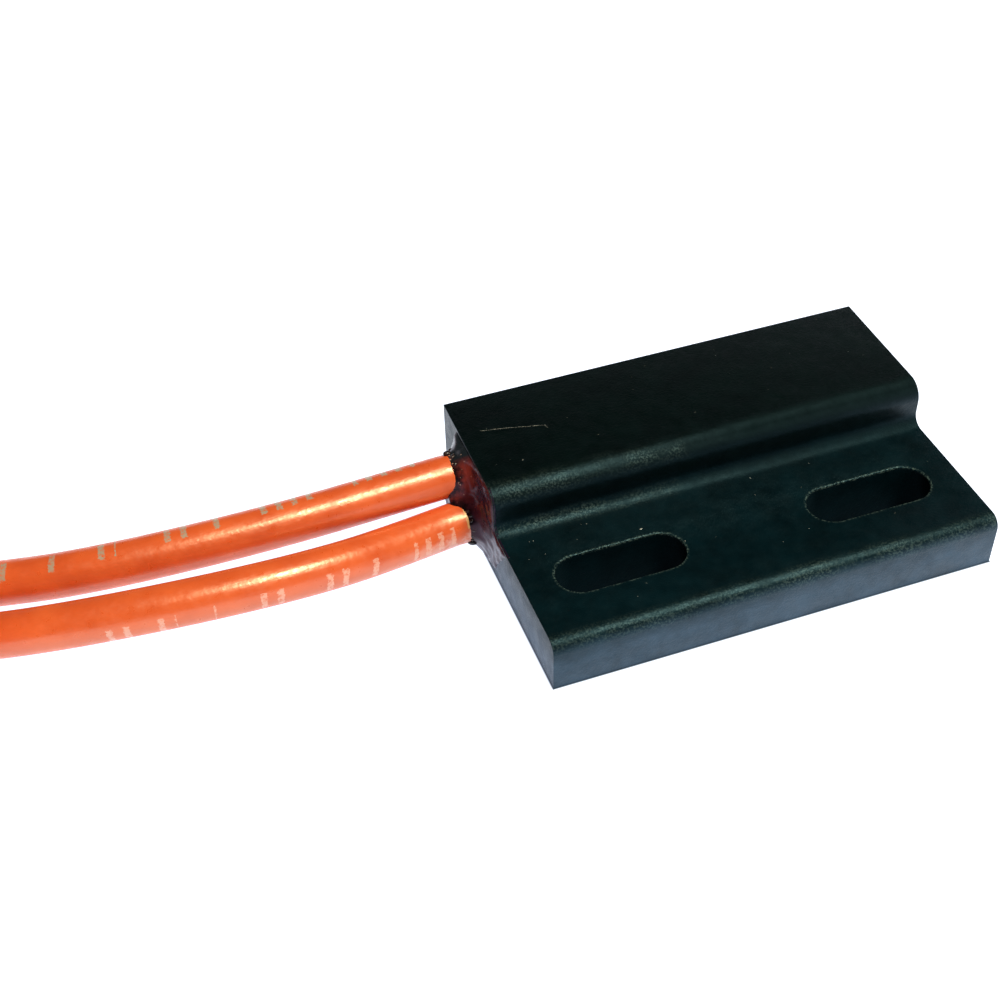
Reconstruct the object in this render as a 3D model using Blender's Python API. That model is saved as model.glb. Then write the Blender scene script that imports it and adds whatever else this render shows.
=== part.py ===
"""Flange-mount door contact sensor: a potted reed switch in a stepped plastic housing, with two flying leads.

Frame: X runs along the housing, with the leads leaving at -X. Y runs across it, with the raised block at +Y.
Z is up, and the origin is at the middle of the underside. Every size is in metres.
"""

import math

import bmesh
import bpy
from mathutils import Vector

MM = 0.001

# Housing: a slotted flange in front of a raised block.
BODY_LENGTH = 28.57 * MM
BODY_WIDTH = 19.05 * MM
BODY_HEIGHT = 6.35 * MM
FLANGE_THICKNESS = 3.5 * MM
BLOCK_DEPTH = 9.25 * MM
FLANGE_EDGE_RADIUS = 0.8 * MM
BLOCK_EDGE_RADIUS = 1.2 * MM
BLOCK_FOOT_RADIUS = 0.8 * MM
SHARP_EDGE_CHAMFER = 0.12 * MM

# Screw slots, for M3 screws.
SLOT_WIDTH = 3.2 * MM
SLOT_LENGTH = 8.4 * MM
SLOT_PITCH = 16.33 * MM
SLOT_FROM_FRONT = 4.85 * MM
SLOT_RIM = 0.15 * MM

# Cavity walls, round the pocket that opens at the lead end.
FRONT_WALL = 0.65 * MM
REAR_WALL = 2.45 * MM
FLOOR_WALL = 0.5 * MM
ROOF_WALL = 0.6 * MM
END_WALL = 1.2 * MM
CAVITY_CORNER = 0.5 * MM

FIT_GAP = 0.05 * MM  # between pieces that touch on the real sensor

# Flying leads: 20 AWG, seven strands in a thick wall.
LEAD_DIAMETER = 2.7 * MM
STRAND_DIAMETER = 0.3 * MM
STRAND_GAP = 0.03 * MM
STRAND_LAY = 14 * MM  # length in which the outer strands go once round
TIP_LENGTH = 6 * MM
FRONT_LEAD_INSIDE = 2.1 * MM  # insulation past the mouth of the cavity
STRIPPED_TO_U_TURN = 1.3 * MM  # rear conductor's straight run before it turns back

# Resin between each lead and the cavity's walls.
REAR_LEAD_BEHIND = 0.375 * MM
REAR_LEAD_ABOVE = 0.2 * MM
FRONT_LEAD_IN_FRONT = 1.025 * MM
FRONT_LEAD_BELOW = 0.25 * MM

# Reed switch, on its own axis in the cavity.
REED_Y = 2.075 * MM
REED_Z = 1.8 * MM
GLASS_LENGTH = 13 * MM
GLASS_DIAMETER = 2.2 * MM
GLASS_WALL = 0.3 * MM
GLASS_SEAL = 1.2 * MM
GLASS_SETBACK = 8.3 * MM  # from the cavity's mouth to the glass
BLADE_WIDTH = 1.0 * MM
BLADE_THICKNESS = 0.2 * MM
BLADE_OVERLAP = 0.9 * MM
CONTACT_GAP = 0.16 * MM
REED_LEAD_DIAMETER = 0.5 * MM
REED_LEAD_OUTSIDE = 2.6 * MM  # lead past the glass
BUFFER_WALL = 0.16 * MM  # elastic sleeve on the glass
BUFFER_OVERHANG = 0.4 * MM

# Splices between the reed's leads and the stranded conductors.
CRIMP_LENGTH = 2.0 * MM
CRIMP_DIAMETER = 1.7 * MM
CRIMP_STRAND_SIDE = 0.9 * MM  # depth of the bore for the strands
SPLICE_SLEEVE_WALL = 0.2 * MM
SPLICE_SLEEVE_OVERHANG = 0.3 * MM

# Hank of the spare lead, tied, on the surface that the housing stands on.
HANK_FROM_LEFT = 56.77 * MM  # from the housing's left end to the hank's middle
HANK_FROM_FRONT_WALL = 0.62 * MM  # from the cavity's front wall forward to the hank's middle
HANK_STRAIGHT = 23.5 * MM
HANK_INNER_BEND = 8.15 * MM  # centre of the inner wire's bend
HANK_LAYERS = 2
TIE_THICKNESS = 0.4 * MM
TIE_WIDTH = 3 * MM
TIE_FROM_MIDDLE = 3 * MM
REAR_TAIL = 22.9 * MM  # last stretch of each lead, on top of the hank
FRONT_TAIL = 58.1 * MM

# Routes of the leads to the hank, in millimetres from the left end, the cavity's front wall and the surface.
REAR_ROUTE = [
    (-2.71, 4.36, 4.2),
    (-5.71, 4.2, 4.2),
    (-9.71, 4, 4.2),
    (-13.71, 3.91, 4.2),
    (-17.71, 4, 4.15),
    (-21.71, 4.38, 3.95),
    (-25.21, 5.08, 3.6),
    (-28.21, 6.03, 3.2),
    (-31.21, 7.17, 2.7),
]
FRONT_ROUTE = [
    (-2.21, 2.28, 2.1),
    (-5.32, 1.47, 2.5),
    (-8.61, 0.5, 3.15),
    (-11.82, -0.03, 3.6),
    (-15.21, -0.15, 3.8),
    (-18.71, 0.05, 3.8),
    (-22.21, 0.52, 3.62),
    (-25.71, 1.28, 3.28),
    (-28.92, 2.28, 2.8),
    (-31.92, 3.58, 2.3),
]

LEFT = -BODY_LENGTH / 2
RIGHT = BODY_LENGTH / 2
FRONT = -BODY_WIDTH / 2
REAR = BODY_WIDTH / 2
BLOCK_FRONT = REAR - BLOCK_DEPTH
CAVITY_FRONT = BLOCK_FRONT + FRONT_WALL
CAVITY_REAR = REAR - REAR_WALL
CAVITY_FLOOR = FLOOR_WALL
CAVITY_ROOF = BODY_HEIGHT - ROOF_WALL
CAVITY_END = RIGHT - END_WALL
LEAD_RADIUS = LEAD_DIAMETER / 2
BUNDLE_RADIUS = 1.5 * STRAND_DIAMETER + STRAND_GAP
REAR_LEAD_Y = CAVITY_REAR - REAR_LEAD_BEHIND - LEAD_RADIUS
REAR_LEAD_Z = CAVITY_ROOF - REAR_LEAD_ABOVE - LEAD_RADIUS
REAR_MOUTH = Vector((LEFT, REAR_LEAD_Y, REAR_LEAD_Z))
FRONT_LEAD_Y = CAVITY_FRONT + FRONT_LEAD_IN_FRONT + LEAD_RADIUS
FRONT_LEAD_Z = CAVITY_FLOOR + FRONT_LEAD_BELOW + LEAD_RADIUS
FRONT_MOUTH = Vector((LEFT, FRONT_LEAD_Y, FRONT_LEAD_Z))
REED = Vector((0, CAVITY_FRONT + REED_Y, CAVITY_FLOOR + REED_Z))
GLASS_LEFT = LEFT + GLASS_SETBACK
GLASS_RIGHT = GLASS_LEFT + GLASS_LENGTH
GLASS_MIDDLE = (GLASS_LEFT + GLASS_RIGHT) / 2
LEAD_LEFT_END = GLASS_LEFT - REED_LEAD_OUTSIDE
LEAD_RIGHT_END = GLASS_RIGHT + REED_LEAD_OUTSIDE
CRIMP_LEAD_SIDE = CRIMP_LENGTH - CRIMP_STRAND_SIDE
BLADE_LIFT = (CONTACT_GAP + BLADE_THICKNESS) / 2
ROOT_GAP = FIT_GAP
CUT_PAST = 0.5 * MM  # how far a cutting tool runs past the surface it opens
PIVOT_INSET = 0.5 * MM  # from the seal to the line that a blade turns about
HANK_MID_X = LEFT - HANK_FROM_LEFT
HANK_MID_Y = CAVITY_FRONT - HANK_FROM_FRONT_WALL
HANK_PITCH = LEAD_DIAMETER + FIT_GAP
HANK_OUTER_BEND = HANK_INNER_BEND + HANK_PITCH
HANK_BASE = TIE_THICKNESS + 2 * FIT_GAP
FIRST_LAYER = HANK_BASE + LEAD_RADIUS
TAIL_LAYER = FIRST_LAYER + HANK_LAYERS * HANK_PITCH
RUN_START = HANK_MID_X + HANK_STRAIGHT / 2
ROUND = 24  # sides of a turned piece


# Materials


def material(name, colour, roughness, metallic=0.0, transmission=0.0):
    """A Principled material, made once for each name."""
    made = bpy.data.materials.get(name)
    if made:
        return made
    made = bpy.data.materials.new(name)
    made.use_nodes = True
    shader = made.node_tree.nodes["Principled BSDF"]
    shader.inputs["Base Color"].default_value = (*colour, 1)
    shader.inputs["Roughness"].default_value = roughness
    shader.inputs["Metallic"].default_value = metallic
    shader.inputs["Transmission Weight"].default_value = transmission
    made.diffuse_color = (*colour, 1)
    return made


def black_plastic():
    return material("black_plastic", (0.012, 0.02, 0.024), 0.42)


def red_resin():
    return material("red_resin", (0.16, 0.025, 0.02), 0.22, transmission=0.2)


def clear_glass():
    return material("clear_glass", (0.75, 0.9, 0.85), 0.05, transmission=0.9)


def nickel_iron():
    return material("nickel_iron", (0.62, 0.6, 0.56), 0.3, metallic=1.0)


def tinned_brass():
    return material("tinned_brass", (0.7, 0.68, 0.6), 0.35, metallic=1.0)


def tinned_copper():
    return material("tinned_copper", (0.75, 0.7, 0.64), 0.35, metallic=1.0)


def orange_pvc():
    return material("orange_pvc", (0.9, 0.21, 0.05), 0.4)


def black_sleeve():
    return material("black_sleeve", (0.02, 0.02, 0.02), 0.6)


def white_tie():
    return material("white_tie", (0.8, 0.8, 0.78), 0.5)


# Shape helpers


def add_object(name, data, finish, location=(0, 0, 0)):
    """Link a mesh or curve into the scene as a named object with its material."""
    data.materials.append(finish)
    made = bpy.data.objects.new(name, data)
    made.location = location
    bpy.context.scene.collection.objects.link(made)
    return made


def mesh_of(name, points, faces):
    """A mesh whose faces all point outwards."""
    shape = bmesh.new()
    corners = [shape.verts.new(p) for p in points]
    for face in faces:
        shape.faces.new([corners[i] for i in face])
    bmesh.ops.recalc_face_normals(shape, faces=shape.faces)
    data = bpy.data.meshes.new(name)
    shape.to_mesh(data)
    shape.free()
    return data


def arc(centre, radius, start, end, steps):
    """Points on an arc in a plane, from one angle to the other, in degrees."""
    angles = [math.radians(start + (end - start) * i / steps) for i in range(steps + 1)]
    return [(centre[0] + radius * math.cos(a), centre[1] + radius * math.sin(a)) for a in angles]


def prism_along_x(name, outline, x_start, x_end):
    """A solid with the same Y-Z outline from one X to the other."""
    count = len(outline)
    points = [(x, y, z) for x in (x_start, x_end) for y, z in outline]
    sides = [(i, (i + 1) % count, count + (i + 1) % count, count + i) for i in range(count)]
    caps = [tuple(range(count)), tuple(range(2 * count - 1, count - 1, -1))]
    return mesh_of(name, points, sides + caps)


def lofted(name, rings, closed=False):
    """A solid through rings of equal count. A closed one joins its last ring to its first."""
    count = len(rings[0])
    points = [p for ring in rings for p in ring]
    spans = len(rings) if closed else len(rings) - 1
    faces = []
    for k in range(spans):
        a = k * count
        b = (k + 1) % len(rings) * count
        faces += [(a + i, a + (i + 1) % count, b + (i + 1) % count, b + i) for i in range(count)]
    if not closed:
        faces += [tuple(range(count)), tuple(range(len(points) - 1, len(points) - count - 1, -1))]
    return mesh_of(name, points, faces)


def turned_ring(x, radius, sides):
    """A circle about the X axis at one X."""
    angles = [2 * math.pi * (i + 0.5) / sides for i in range(sides)]
    return [(x, radius * math.cos(a), radius * math.sin(a)) for a in angles]


def turned(name, profile, sides=ROUND, hollow=False):
    """A piece turned about X from (x, radius) points. A hollow one's profile runs back along its bore."""
    data = lofted(name, [turned_ring(x, r, sides) for x, r in profile], closed=hollow)
    data.shade_smooth()
    data.set_sharp_from_angle(angle=math.radians(35))
    return data


def pipe(name, x_start, x_end, outer, inner):
    """A plain sleeve about the X axis."""
    profile = [(x_start, outer), (x_end, outer), (x_end, inner), (x_start, inner)]
    return turned(name, profile, hollow=True)


def rounded_box_outline(low, high, radius, steps=4):
    """A rectangle with rounded corners, anticlockwise from its lower left."""
    corners = [
        ((low[0] + radius, low[1] + radius), 180),
        ((high[0] - radius, low[1] + radius), 270),
        ((high[0] - radius, high[1] - radius), 0),
        ((low[0] + radius, high[1] - radius), 90),
    ]
    return [p for centre, start in corners for p in arc(centre, radius, start, start + 90, steps)]


def stadium_outline(middle, straight, radius, steps=12):
    """A slot's outline: two straight sides along X and two half circles."""
    right = (middle[0] + straight / 2, middle[1])
    left = (middle[0] - straight / 2, middle[1])
    return arc(right, radius, -90, 90, steps) + arc(left, radius, 90, 270, steps)


def smooth_line(points, spacing):
    """A smooth curve through the points (centripetal Catmull-Rom), read at equal steps of length."""
    route = [Vector(p) for p in points]
    ends = [2 * route[0] - route[1], *route, 2 * route[-1] - route[-2]]
    fine = [route[0]]
    steps = 24
    for a, b, c, d in zip(ends, ends[1:], ends[2:], ends[3:]):
        t1 = math.sqrt((b - a).length)
        t2 = t1 + math.sqrt((c - b).length)
        t3 = t2 + math.sqrt((d - c).length)
        for i in range(1, steps + 1):
            t = t1 + (t2 - t1) * i / steps
            ab = a.lerp(b, t / t1)
            bc = b.lerp(c, (t - t1) / (t2 - t1))
            cd = c.lerp(d, (t - t2) / (t3 - t2))
            abc = ab.lerp(bc, t / t2)
            bcd = bc.lerp(cd, (t - t1) / (t3 - t1))
            fine.append(abc.lerp(bcd, (t - t1) / (t2 - t1)))
    return evenly(fine, spacing)


def evenly(line, spacing):
    """The same line with a point at equal steps of its length, about spacing apart."""
    lengths = [(b - a).length for a, b in zip(line, line[1:])]
    count = max(1, round(sum(lengths) / spacing))
    step = sum(lengths) / count
    made, done, wanted = [line[0]], 0.0, step
    for (a, b), length in zip(zip(line, line[1:]), lengths):
        while wanted < done + length - 1e-12 and len(made) < count:
            made.append(a.lerp(b, (wanted - done) / length))
            wanted += step
        done += length
    return [*made, line[-1]]


def tube(name, points, radius, finish, sides_step=2):
    """A round bar along points, as a bevelled curve with closed ends."""
    data = bpy.data.curves.new(name, "CURVE")
    data.dimensions = "3D"
    data.bevel_depth = radius
    data.bevel_resolution = sides_step
    data.use_fill_caps = True
    line = data.splines.new("POLY")
    line.points.add(len(points) - 1)
    for spot, point in zip(line.points, points):
        spot.co = (*point, 1)
    return add_object(name, data, finish)


def cutter(name, data):
    """A tool for a Boolean, which isn't part of the sensor."""
    made = add_object(name, data, material("cutter", (1, 0, 1), 0.5))
    made.hide_render = True
    made.display_type = "WIRE"
    return made


def cut(piece, tools):
    """Take each tool's shape out of a piece."""
    for tool in tools:
        modifier = piece.modifiers.new(tool.name, "BOOLEAN")
        modifier.operation = "DIFFERENCE"
        modifier.solver = "EXACT"
        modifier.object = tool


# Housing and potting


def housing_outline():
    """The stepped section: flange, rounded foot, block."""
    chamfer = SHARP_EDGE_CHAMFER
    flange_edge = (FRONT + FLANGE_EDGE_RADIUS, FLANGE_THICKNESS - FLANGE_EDGE_RADIUS)
    foot = (BLOCK_FRONT - BLOCK_FOOT_RADIUS, FLANGE_THICKNESS + BLOCK_FOOT_RADIUS)
    block_edge = (BLOCK_FRONT + BLOCK_EDGE_RADIUS, BODY_HEIGHT - BLOCK_EDGE_RADIUS)
    return [
        (REAR - chamfer, 0),
        (REAR, chamfer),
        (REAR, BODY_HEIGHT - chamfer),
        (REAR - chamfer, BODY_HEIGHT),
        *arc(block_edge, BLOCK_EDGE_RADIUS, 90, 180, 8),
        *arc(foot, BLOCK_FOOT_RADIUS, 0, -90, 6),
        *arc(flange_edge, FLANGE_EDGE_RADIUS, 90, 180, 6),
        (FRONT, chamfer),
        (FRONT + chamfer, 0),
    ]


def cavity_outline(inset):
    low = (CAVITY_FRONT + inset, CAVITY_FLOOR + inset)
    high = (CAVITY_REAR - inset, CAVITY_ROOF - inset)
    return rounded_box_outline(low, high, CAVITY_CORNER)


def slot_cutter(name, side):
    """A slot right through the flange, widened at the top by the rounded rim."""
    middle = (side * SLOT_PITCH / 2, FRONT + SLOT_FROM_FRONT)
    straight = SLOT_LENGTH - SLOT_WIDTH
    radius = SLOT_WIDTH / 2
    levels = [
        (-CUT_PAST, 0),
        (FLANGE_THICKNESS - SLOT_RIM, 0),
        (FLANGE_THICKNESS - 0.3 * SLOT_RIM, 0.3 * SLOT_RIM),
        (FLANGE_THICKNESS, SLOT_RIM),
        (FLANGE_THICKNESS + CUT_PAST, SLOT_RIM),
    ]
    rings = [
        [(x, y, z) for x, y in stadium_outline(middle, straight, radius + wider)]
        for z, wider in levels
    ]
    return cutter(name, lofted(name, rings))


def make_housing():
    body = add_object("housing", prism_along_x("housing", housing_outline(), LEFT, RIGHT), black_plastic())
    hollow = prism_along_x("cavity_cutter", cavity_outline(0), LEFT - CUT_PAST, CAVITY_END)
    cavity = cutter("cavity_cutter", hollow)
    slots = [slot_cutter(f"slot_cutter_{word}", side) for word, side in (("left", -1), ("right", 1))]
    cut(body, [cavity, *slots])
    return body


def bore_cutter(name, middle, x_start, x_end, radius):
    """A round bore along X, wide enough for its own facets."""
    reach = (radius + FIT_GAP) / math.cos(math.pi / ROUND)
    made = cutter(name, turned(name, [(x_start, reach), (x_end, reach)]))
    made.location = (0, middle.y, middle.z)
    return made


def path_cutter(name, points, radius):
    """A round passage along a bent line, open at both ends into its neighbours."""
    rings = []
    side = Vector((0, 1, 0))
    for i, point in enumerate(points):
        along = (points[min(i + 1, len(points) - 1)] - points[max(i - 1, 0)]).normalized()
        side = (side - side.dot(along) * along).normalized()
        up = along.cross(side)
        angles = [2 * math.pi * k / 12 for k in range(12)]
        rings.append([point + radius * (math.cos(a) * side + math.sin(a) * up) for a in angles])
    return cutter(name, lofted(name, rings))


def eased(span):
    """A run along X with room at each end."""
    start, end = span
    return start - FIT_GAP, end + FIT_GAP


def make_potting():
    """Resin that fills the cavity round everything in it, flush with the mouth."""
    block = prism_along_x("potting", cavity_outline(FIT_GAP), LEFT, CAVITY_END - FIT_GAP)
    body = add_object("potting", block, red_resin())
    passage = BUNDLE_RADIUS + 2 * FIT_GAP
    near_sleeve, far_sleeve = eased(splice_sleeve_span("near")), eased(splice_sleeve_span("far"))
    sleeve_radius = CRIMP_DIAMETER / 2 + FIT_GAP + SPLICE_SLEEVE_WALL
    buffer_radius = GLASS_DIAMETER / 2 + FIT_GAP + BUFFER_WALL
    lead_radius = REED_LEAD_DIAMETER / 2
    buffer = eased(buffer_span())
    reed_run = (LEAD_LEFT_END, LEAD_RIGHT_END)
    start = LEFT - CUT_PAST
    rear_end, front_end = rear_insulation_end() + FIT_GAP, front_insulation_end() + FIT_GAP
    # Each tool meets the one before it, from the rear lead's mouth round to the front lead's.
    tools = [
        bore_cutter("rear_lead_bore", REAR_MOUTH, start, rear_end, LEAD_RADIUS),
        path_cutter("rear_conductor_passage", rear_conductor_line(), passage),
        bore_cutter("far_splice_bore", REED, *far_sleeve, sleeve_radius),
        bore_cutter("reed_lead_bore", REED, *reed_run, lead_radius),
        bore_cutter("buffer_bore", REED, *buffer, buffer_radius),
        bore_cutter("near_splice_bore", REED, *near_sleeve, sleeve_radius),
        path_cutter("front_conductor_passage", front_conductor_line(), passage),
        bore_cutter("front_lead_bore", FRONT_MOUTH, start, front_end, LEAD_RADIUS),
    ]
    cut(body, tools)
    return body


# Reed switch


def make_glass():
    """The capsule: a thin tube melted down onto the lead at each end, hollow between the seals."""
    outer, inner = GLASS_DIAMETER / 2, GLASS_DIAMETER / 2 - GLASS_WALL
    bore = REED_LEAD_DIAMETER / 2 + FIT_GAP
    half, room = GLASS_LENGTH / 2, GLASS_LENGTH / 2 - GLASS_SEAL
    shoulder = 0.5 * MM
    neck = 0.6 * outer
    outside = [(-half, neck), (-half + 0.3 * shoulder, 0.85 * outer), (-half + shoulder, outer)]
    inside = [(room, bore), (room - 0.3 * shoulder, 0.7 * inner), (room - shoulder, inner)]
    profile = [
        (-half, bore),
        *outside,
        *[(-x, r) for x, r in reversed(outside)],
        (half, bore),
        *inside,
        *[(-x, r) for x, r in reversed(inside)],
    ]
    capsule = turned("reed_glass", profile, hollow=True)
    return add_object("reed_glass", capsule, clear_glass(), (GLASS_MIDDLE, REED.y, REED.z))


def buffer_span():
    return GLASS_LEFT - BUFFER_OVERHANG, GLASS_RIGHT + BUFFER_OVERHANG


def make_buffer_sleeve():
    """Elastic sleeve that keeps the shrinking resin off the glass."""
    start, end = buffer_span()
    inner = GLASS_DIAMETER / 2 + FIT_GAP
    data = pipe("capsule_sleeve", start, end, inner + BUFFER_WALL, inner)
    return add_object("capsule_sleeve", data, black_sleeve(), (0, REED.y, REED.z))


def section(x, half_width, half_height, lift, squareness, sides=16):
    """A ring between a circle (squareness 1) and a rounded rectangle (nearer 0) across the reed's axis."""
    ring = []
    for i in range(sides):
        a = 2 * math.pi * (i + 0.5) / sides
        c, s = math.cos(a), math.sin(a)
        y = half_width * math.copysign(abs(c) ** squareness, c)
        z = half_height * math.copysign(abs(s) ** squareness, s)
        ring.append((x, y, lift + z))
    return ring


def make_reed_lead(name, side):
    """Nickel-iron lead through the seal, pressed flat where the blade begins. side is -1 at the left."""
    wire = REED_LEAD_DIAMETER / 2
    outer_end = REED_LEAD_OUTSIDE + GLASS_LENGTH / 2
    pivot = blade_pivot_reach()
    lift = -side * BLADE_LIFT
    flat = (BLADE_WIDTH / 2, BLADE_THICKNESS / 2)
    rings = [
        section(side * outer_end, wire, wire, 0, 1.0),
        section(side * (pivot + 0.6 * MM), wire, wire, 0, 1.0),
        section(side * (pivot + 0.3 * MM), 0.7 * flat[0], 1.4 * flat[1], 0.6 * lift, 0.8),
        section(side * (pivot + ROOT_GAP), *flat, lift, 0.4),
    ]
    return add_object(name, lofted(name, rings), nickel_iron(), (GLASS_MIDDLE, REED.y, REED.z))


def blade_pivot_reach():
    """How far each pivot line is from the capsule's middle."""
    return GLASS_LENGTH / 2 - GLASS_SEAL - PIVOT_INSET


def make_reed_blade(name, side):
    """The springy flat end of a reed, with its origin on the line where it bends."""
    reach = blade_pivot_reach()
    tip = -side * (reach + BLADE_OVERLAP / 2)
    rings = [
        section(x, BLADE_WIDTH / 2, BLADE_THICKNESS / 2, 0, 0.4)
        for x in (0, 0.4 * tip, 0.85 * tip)
    ]
    rings.append(section(tip, 0.9 * BLADE_WIDTH / 2, BLADE_THICKNESS / 2, 0, 0.5))
    pivot = (GLASS_MIDDLE + side * reach, REED.y, REED.z - side * BLADE_LIFT)
    return add_object(name, lofted(name, rings), nickel_iron(), pivot)


# Splices


def crimp_span(which):
    """Where a crimp begins and ends along X: its short bore is on the reed's side."""
    if which == "near":
        middle = LEAD_LEFT_END
        return middle - CRIMP_STRAND_SIDE, middle + CRIMP_LEAD_SIDE
    middle = LEAD_RIGHT_END
    return middle - CRIMP_LEAD_SIDE, middle + CRIMP_STRAND_SIDE


def splice_sleeve_span(which):
    start, end = crimp_span(which)
    return start - SPLICE_SLEEVE_OVERHANG, end + SPLICE_SLEEVE_OVERHANG


def make_crimp(which):
    """Splice barrel, bored wide for the strands and narrow for the reed's lead."""
    start, end = crimp_span(which)
    outer = CRIMP_DIAMETER / 2
    wide = BUNDLE_RADIUS + FIT_GAP
    narrow = REED_LEAD_DIAMETER / 2 + FIT_GAP
    left_bore, right_bore = (wide, narrow) if which == "near" else (narrow, wide)
    step = start + CRIMP_STRAND_SIDE if which == "near" else end - CRIMP_STRAND_SIDE
    ease = 0.1 * MM
    profile = [
        (start, outer - ease),
        (start + ease, outer),
        (end - ease, outer),
        (end, outer - ease),
        (end, right_bore),
        (step, right_bore),
        (step, left_bore),
        (start, left_bore),
    ]
    name = f"{which}_splice_crimp"
    return add_object(name, turned(name, profile, hollow=True), tinned_brass(), (0, REED.y, REED.z))


def make_splice_sleeve(which):
    start, end = splice_sleeve_span(which)
    inner = CRIMP_DIAMETER / 2 + FIT_GAP
    name = f"{which}_splice_sleeve"
    tube = pipe(name, start, end, inner + SPLICE_SLEEVE_WALL, inner)
    return add_object(name, tube, black_sleeve(), (0, REED.y, REED.z))


# Leads inside the housing


def front_insulation_end():
    return LEFT + FRONT_LEAD_INSIDE


def u_turn_start():
    """X where the rear conductor leaves its sleeve and turns back."""
    return splice_sleeve_span("far")[1]


def rear_insulation_end():
    return u_turn_start() - STRIPPED_TO_U_TURN


def front_conductor_line():
    """Middle of the front conductor: a shallow S from its insulation into the near crimp."""
    start = Vector((front_insulation_end(), FRONT_MOUTH.y, FRONT_MOUTH.z))
    end = Vector((splice_sleeve_span("near")[0], REED.y, REED.z))
    inside = Vector((LEAD_LEFT_END - 2 * FIT_GAP, REED.y, REED.z))
    steps = 8
    line = []
    for i in range(steps + 1):
        t = i / steps
        ease = t * t * (3 - 2 * t)
        line.append(Vector((start.x + (end.x - start.x) * t, *start.lerp(end, ease).yz)))
    return [*line, inside]


def rear_conductor_line():
    """Middle of the rear conductor: on past its insulation, round in a U and back into the far crimp."""
    turn = u_turn_start()
    out = Vector((0, REAR_MOUTH.y, REAR_MOUTH.z))
    back = Vector((0, REED.y, REED.z))
    middle, radius = (out + back) / 2, (out - back).length / 2
    across = (out - back).normalized()
    steps = 12
    line = [Vector((rear_insulation_end(), out.y, out.z))]
    for i in range(steps + 1):
        a = math.pi * i / steps
        spot = middle + radius * math.cos(a) * across
        line.append(Vector((turn + radius * math.sin(a), spot.y, spot.z)))
    line.append(Vector((LEAD_RIGHT_END + 2 * FIT_GAP, back.y, back.z)))
    return line


def make_strands(which, line):
    """Seven twisted strands: one in the middle and six round it, each a piece of its own."""
    ring = STRAND_DIAMETER + STRAND_GAP
    start = line[0] + FIT_GAP * (line[1] - line[0]).normalized()
    points = evenly([start, *line[1:]], 0.5 * MM)
    spacing = (points[1] - points[0]).length
    frames = []
    side = Vector((0, 1, 0))
    for i in range(len(points)):
        along = (points[min(i + 1, len(points) - 1)] - points[max(i - 1, 0)]).normalized()
        side = (side - side.dot(along) * along).normalized()
        frames.append((side.copy(), along.cross(side)))
    made = [tube(f"{which}_strand_1", points, STRAND_DIAMETER / 2, tinned_copper(), 1)]
    for k in range(6):
        path = []
        for i, (point, (across, up)) in enumerate(zip(points, frames)):
            a = 2 * math.pi * (k / 6 + i * spacing / STRAND_LAY)
            path.append(point + ring * (math.cos(a) * across + math.sin(a) * up))
        made.append(tube(f"{which}_strand_{k + 2}", path, STRAND_DIAMETER / 2, tinned_copper(), 1))
    return made


# Leads outside the housing


def make_lead(which):
    """A lead from inside the potting to where it joins the hank."""
    rear = which == "rear"
    mouth = REAR_MOUTH if rear else FRONT_MOUTH
    inner_end = rear_insulation_end() if rear else front_insulation_end()
    straight_out = 1.5 * MM
    inside = [Vector((inner_end, mouth.y, mouth.z)), Vector((LEFT - straight_out, mouth.y, mouth.z))]
    start = Vector((LEFT, CAVITY_FRONT, 0))
    route = [start + Vector(p) * MM for p in (REAR_ROUTE if rear else FRONT_ROUTE)]
    outside = smooth_line([inside[-1], *route], 2.2 * LEAD_DIAMETER)
    points = evenly(inside, 2.2 * LEAD_DIAMETER)[:-1] + outside
    return tube(f"{which}_lead", points, LEAD_RADIUS, orange_pvc())


def racetrack(bend, steps):
    """The hank's outline at one bend radius, anticlockwise."""
    return stadium_outline((HANK_MID_X, HANK_MID_Y), HANK_STRAIGHT, bend, steps)


def make_hank():
    """The outer shape of the wound leads: an extruded outline with round ends, open in the middle."""
    outer = racetrack(HANK_OUTER_BEND + LEAD_RADIUS, 14)
    inner = racetrack(HANK_INNER_BEND - LEAD_RADIUS, 14)
    top = HANK_BASE + 2 * LEAD_RADIUS + (HANK_LAYERS - 1) * HANK_PITCH
    levels = [(HANK_BASE, outer), (top, outer), (top, inner), (HANK_BASE, inner)]
    rings = [[(x, y, z) for x, y in outline] for z, outline in levels]
    return add_object("lead_hank", lofted("lead_hank", rings, closed=True), orange_pvc())


def along_hank(bend, distance):
    """A point on a turn, from the start of the rear run, which goes towards -X."""
    curve = math.pi * bend
    if distance <= HANK_STRAIGHT:
        return Vector((RUN_START - distance, HANK_MID_Y + bend, TAIL_LAYER))
    distance -= HANK_STRAIGHT
    left = RUN_START - HANK_STRAIGHT
    if distance <= curve:
        a = math.pi / 2 + distance / bend
        return Vector((left + bend * math.cos(a), HANK_MID_Y + bend * math.sin(a), TAIL_LAYER))
    return Vector((left + distance - curve, HANK_MID_Y - bend, TAIL_LAYER))


def make_tail(which):
    """The last stretch of a lead, on top of the hank, and its stripped and tinned tip."""
    rear = which == "rear"
    bend = HANK_OUTER_BEND if rear else HANK_INNER_BEND
    length = REAR_TAIL if rear else FRONT_TAIL
    steps = round(length / (1.6 * LEAD_DIAMETER))
    points = [along_hank(bend, length * i / steps) for i in range(steps + 1)]
    tube(f"{which}_lead_tail", points, LEAD_RADIUS, orange_pvc())
    along = (points[-1] - points[-2]).normalized()
    tip_start = points[-1] + FIT_GAP * along
    tip_points = [tip_start, tip_start + 0.9 * TIP_LENGTH * along, tip_start + TIP_LENGTH * along]
    return tube(f"{which}_lead_tip", tip_points, BUNDLE_RADIUS, tinned_copper())


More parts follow.
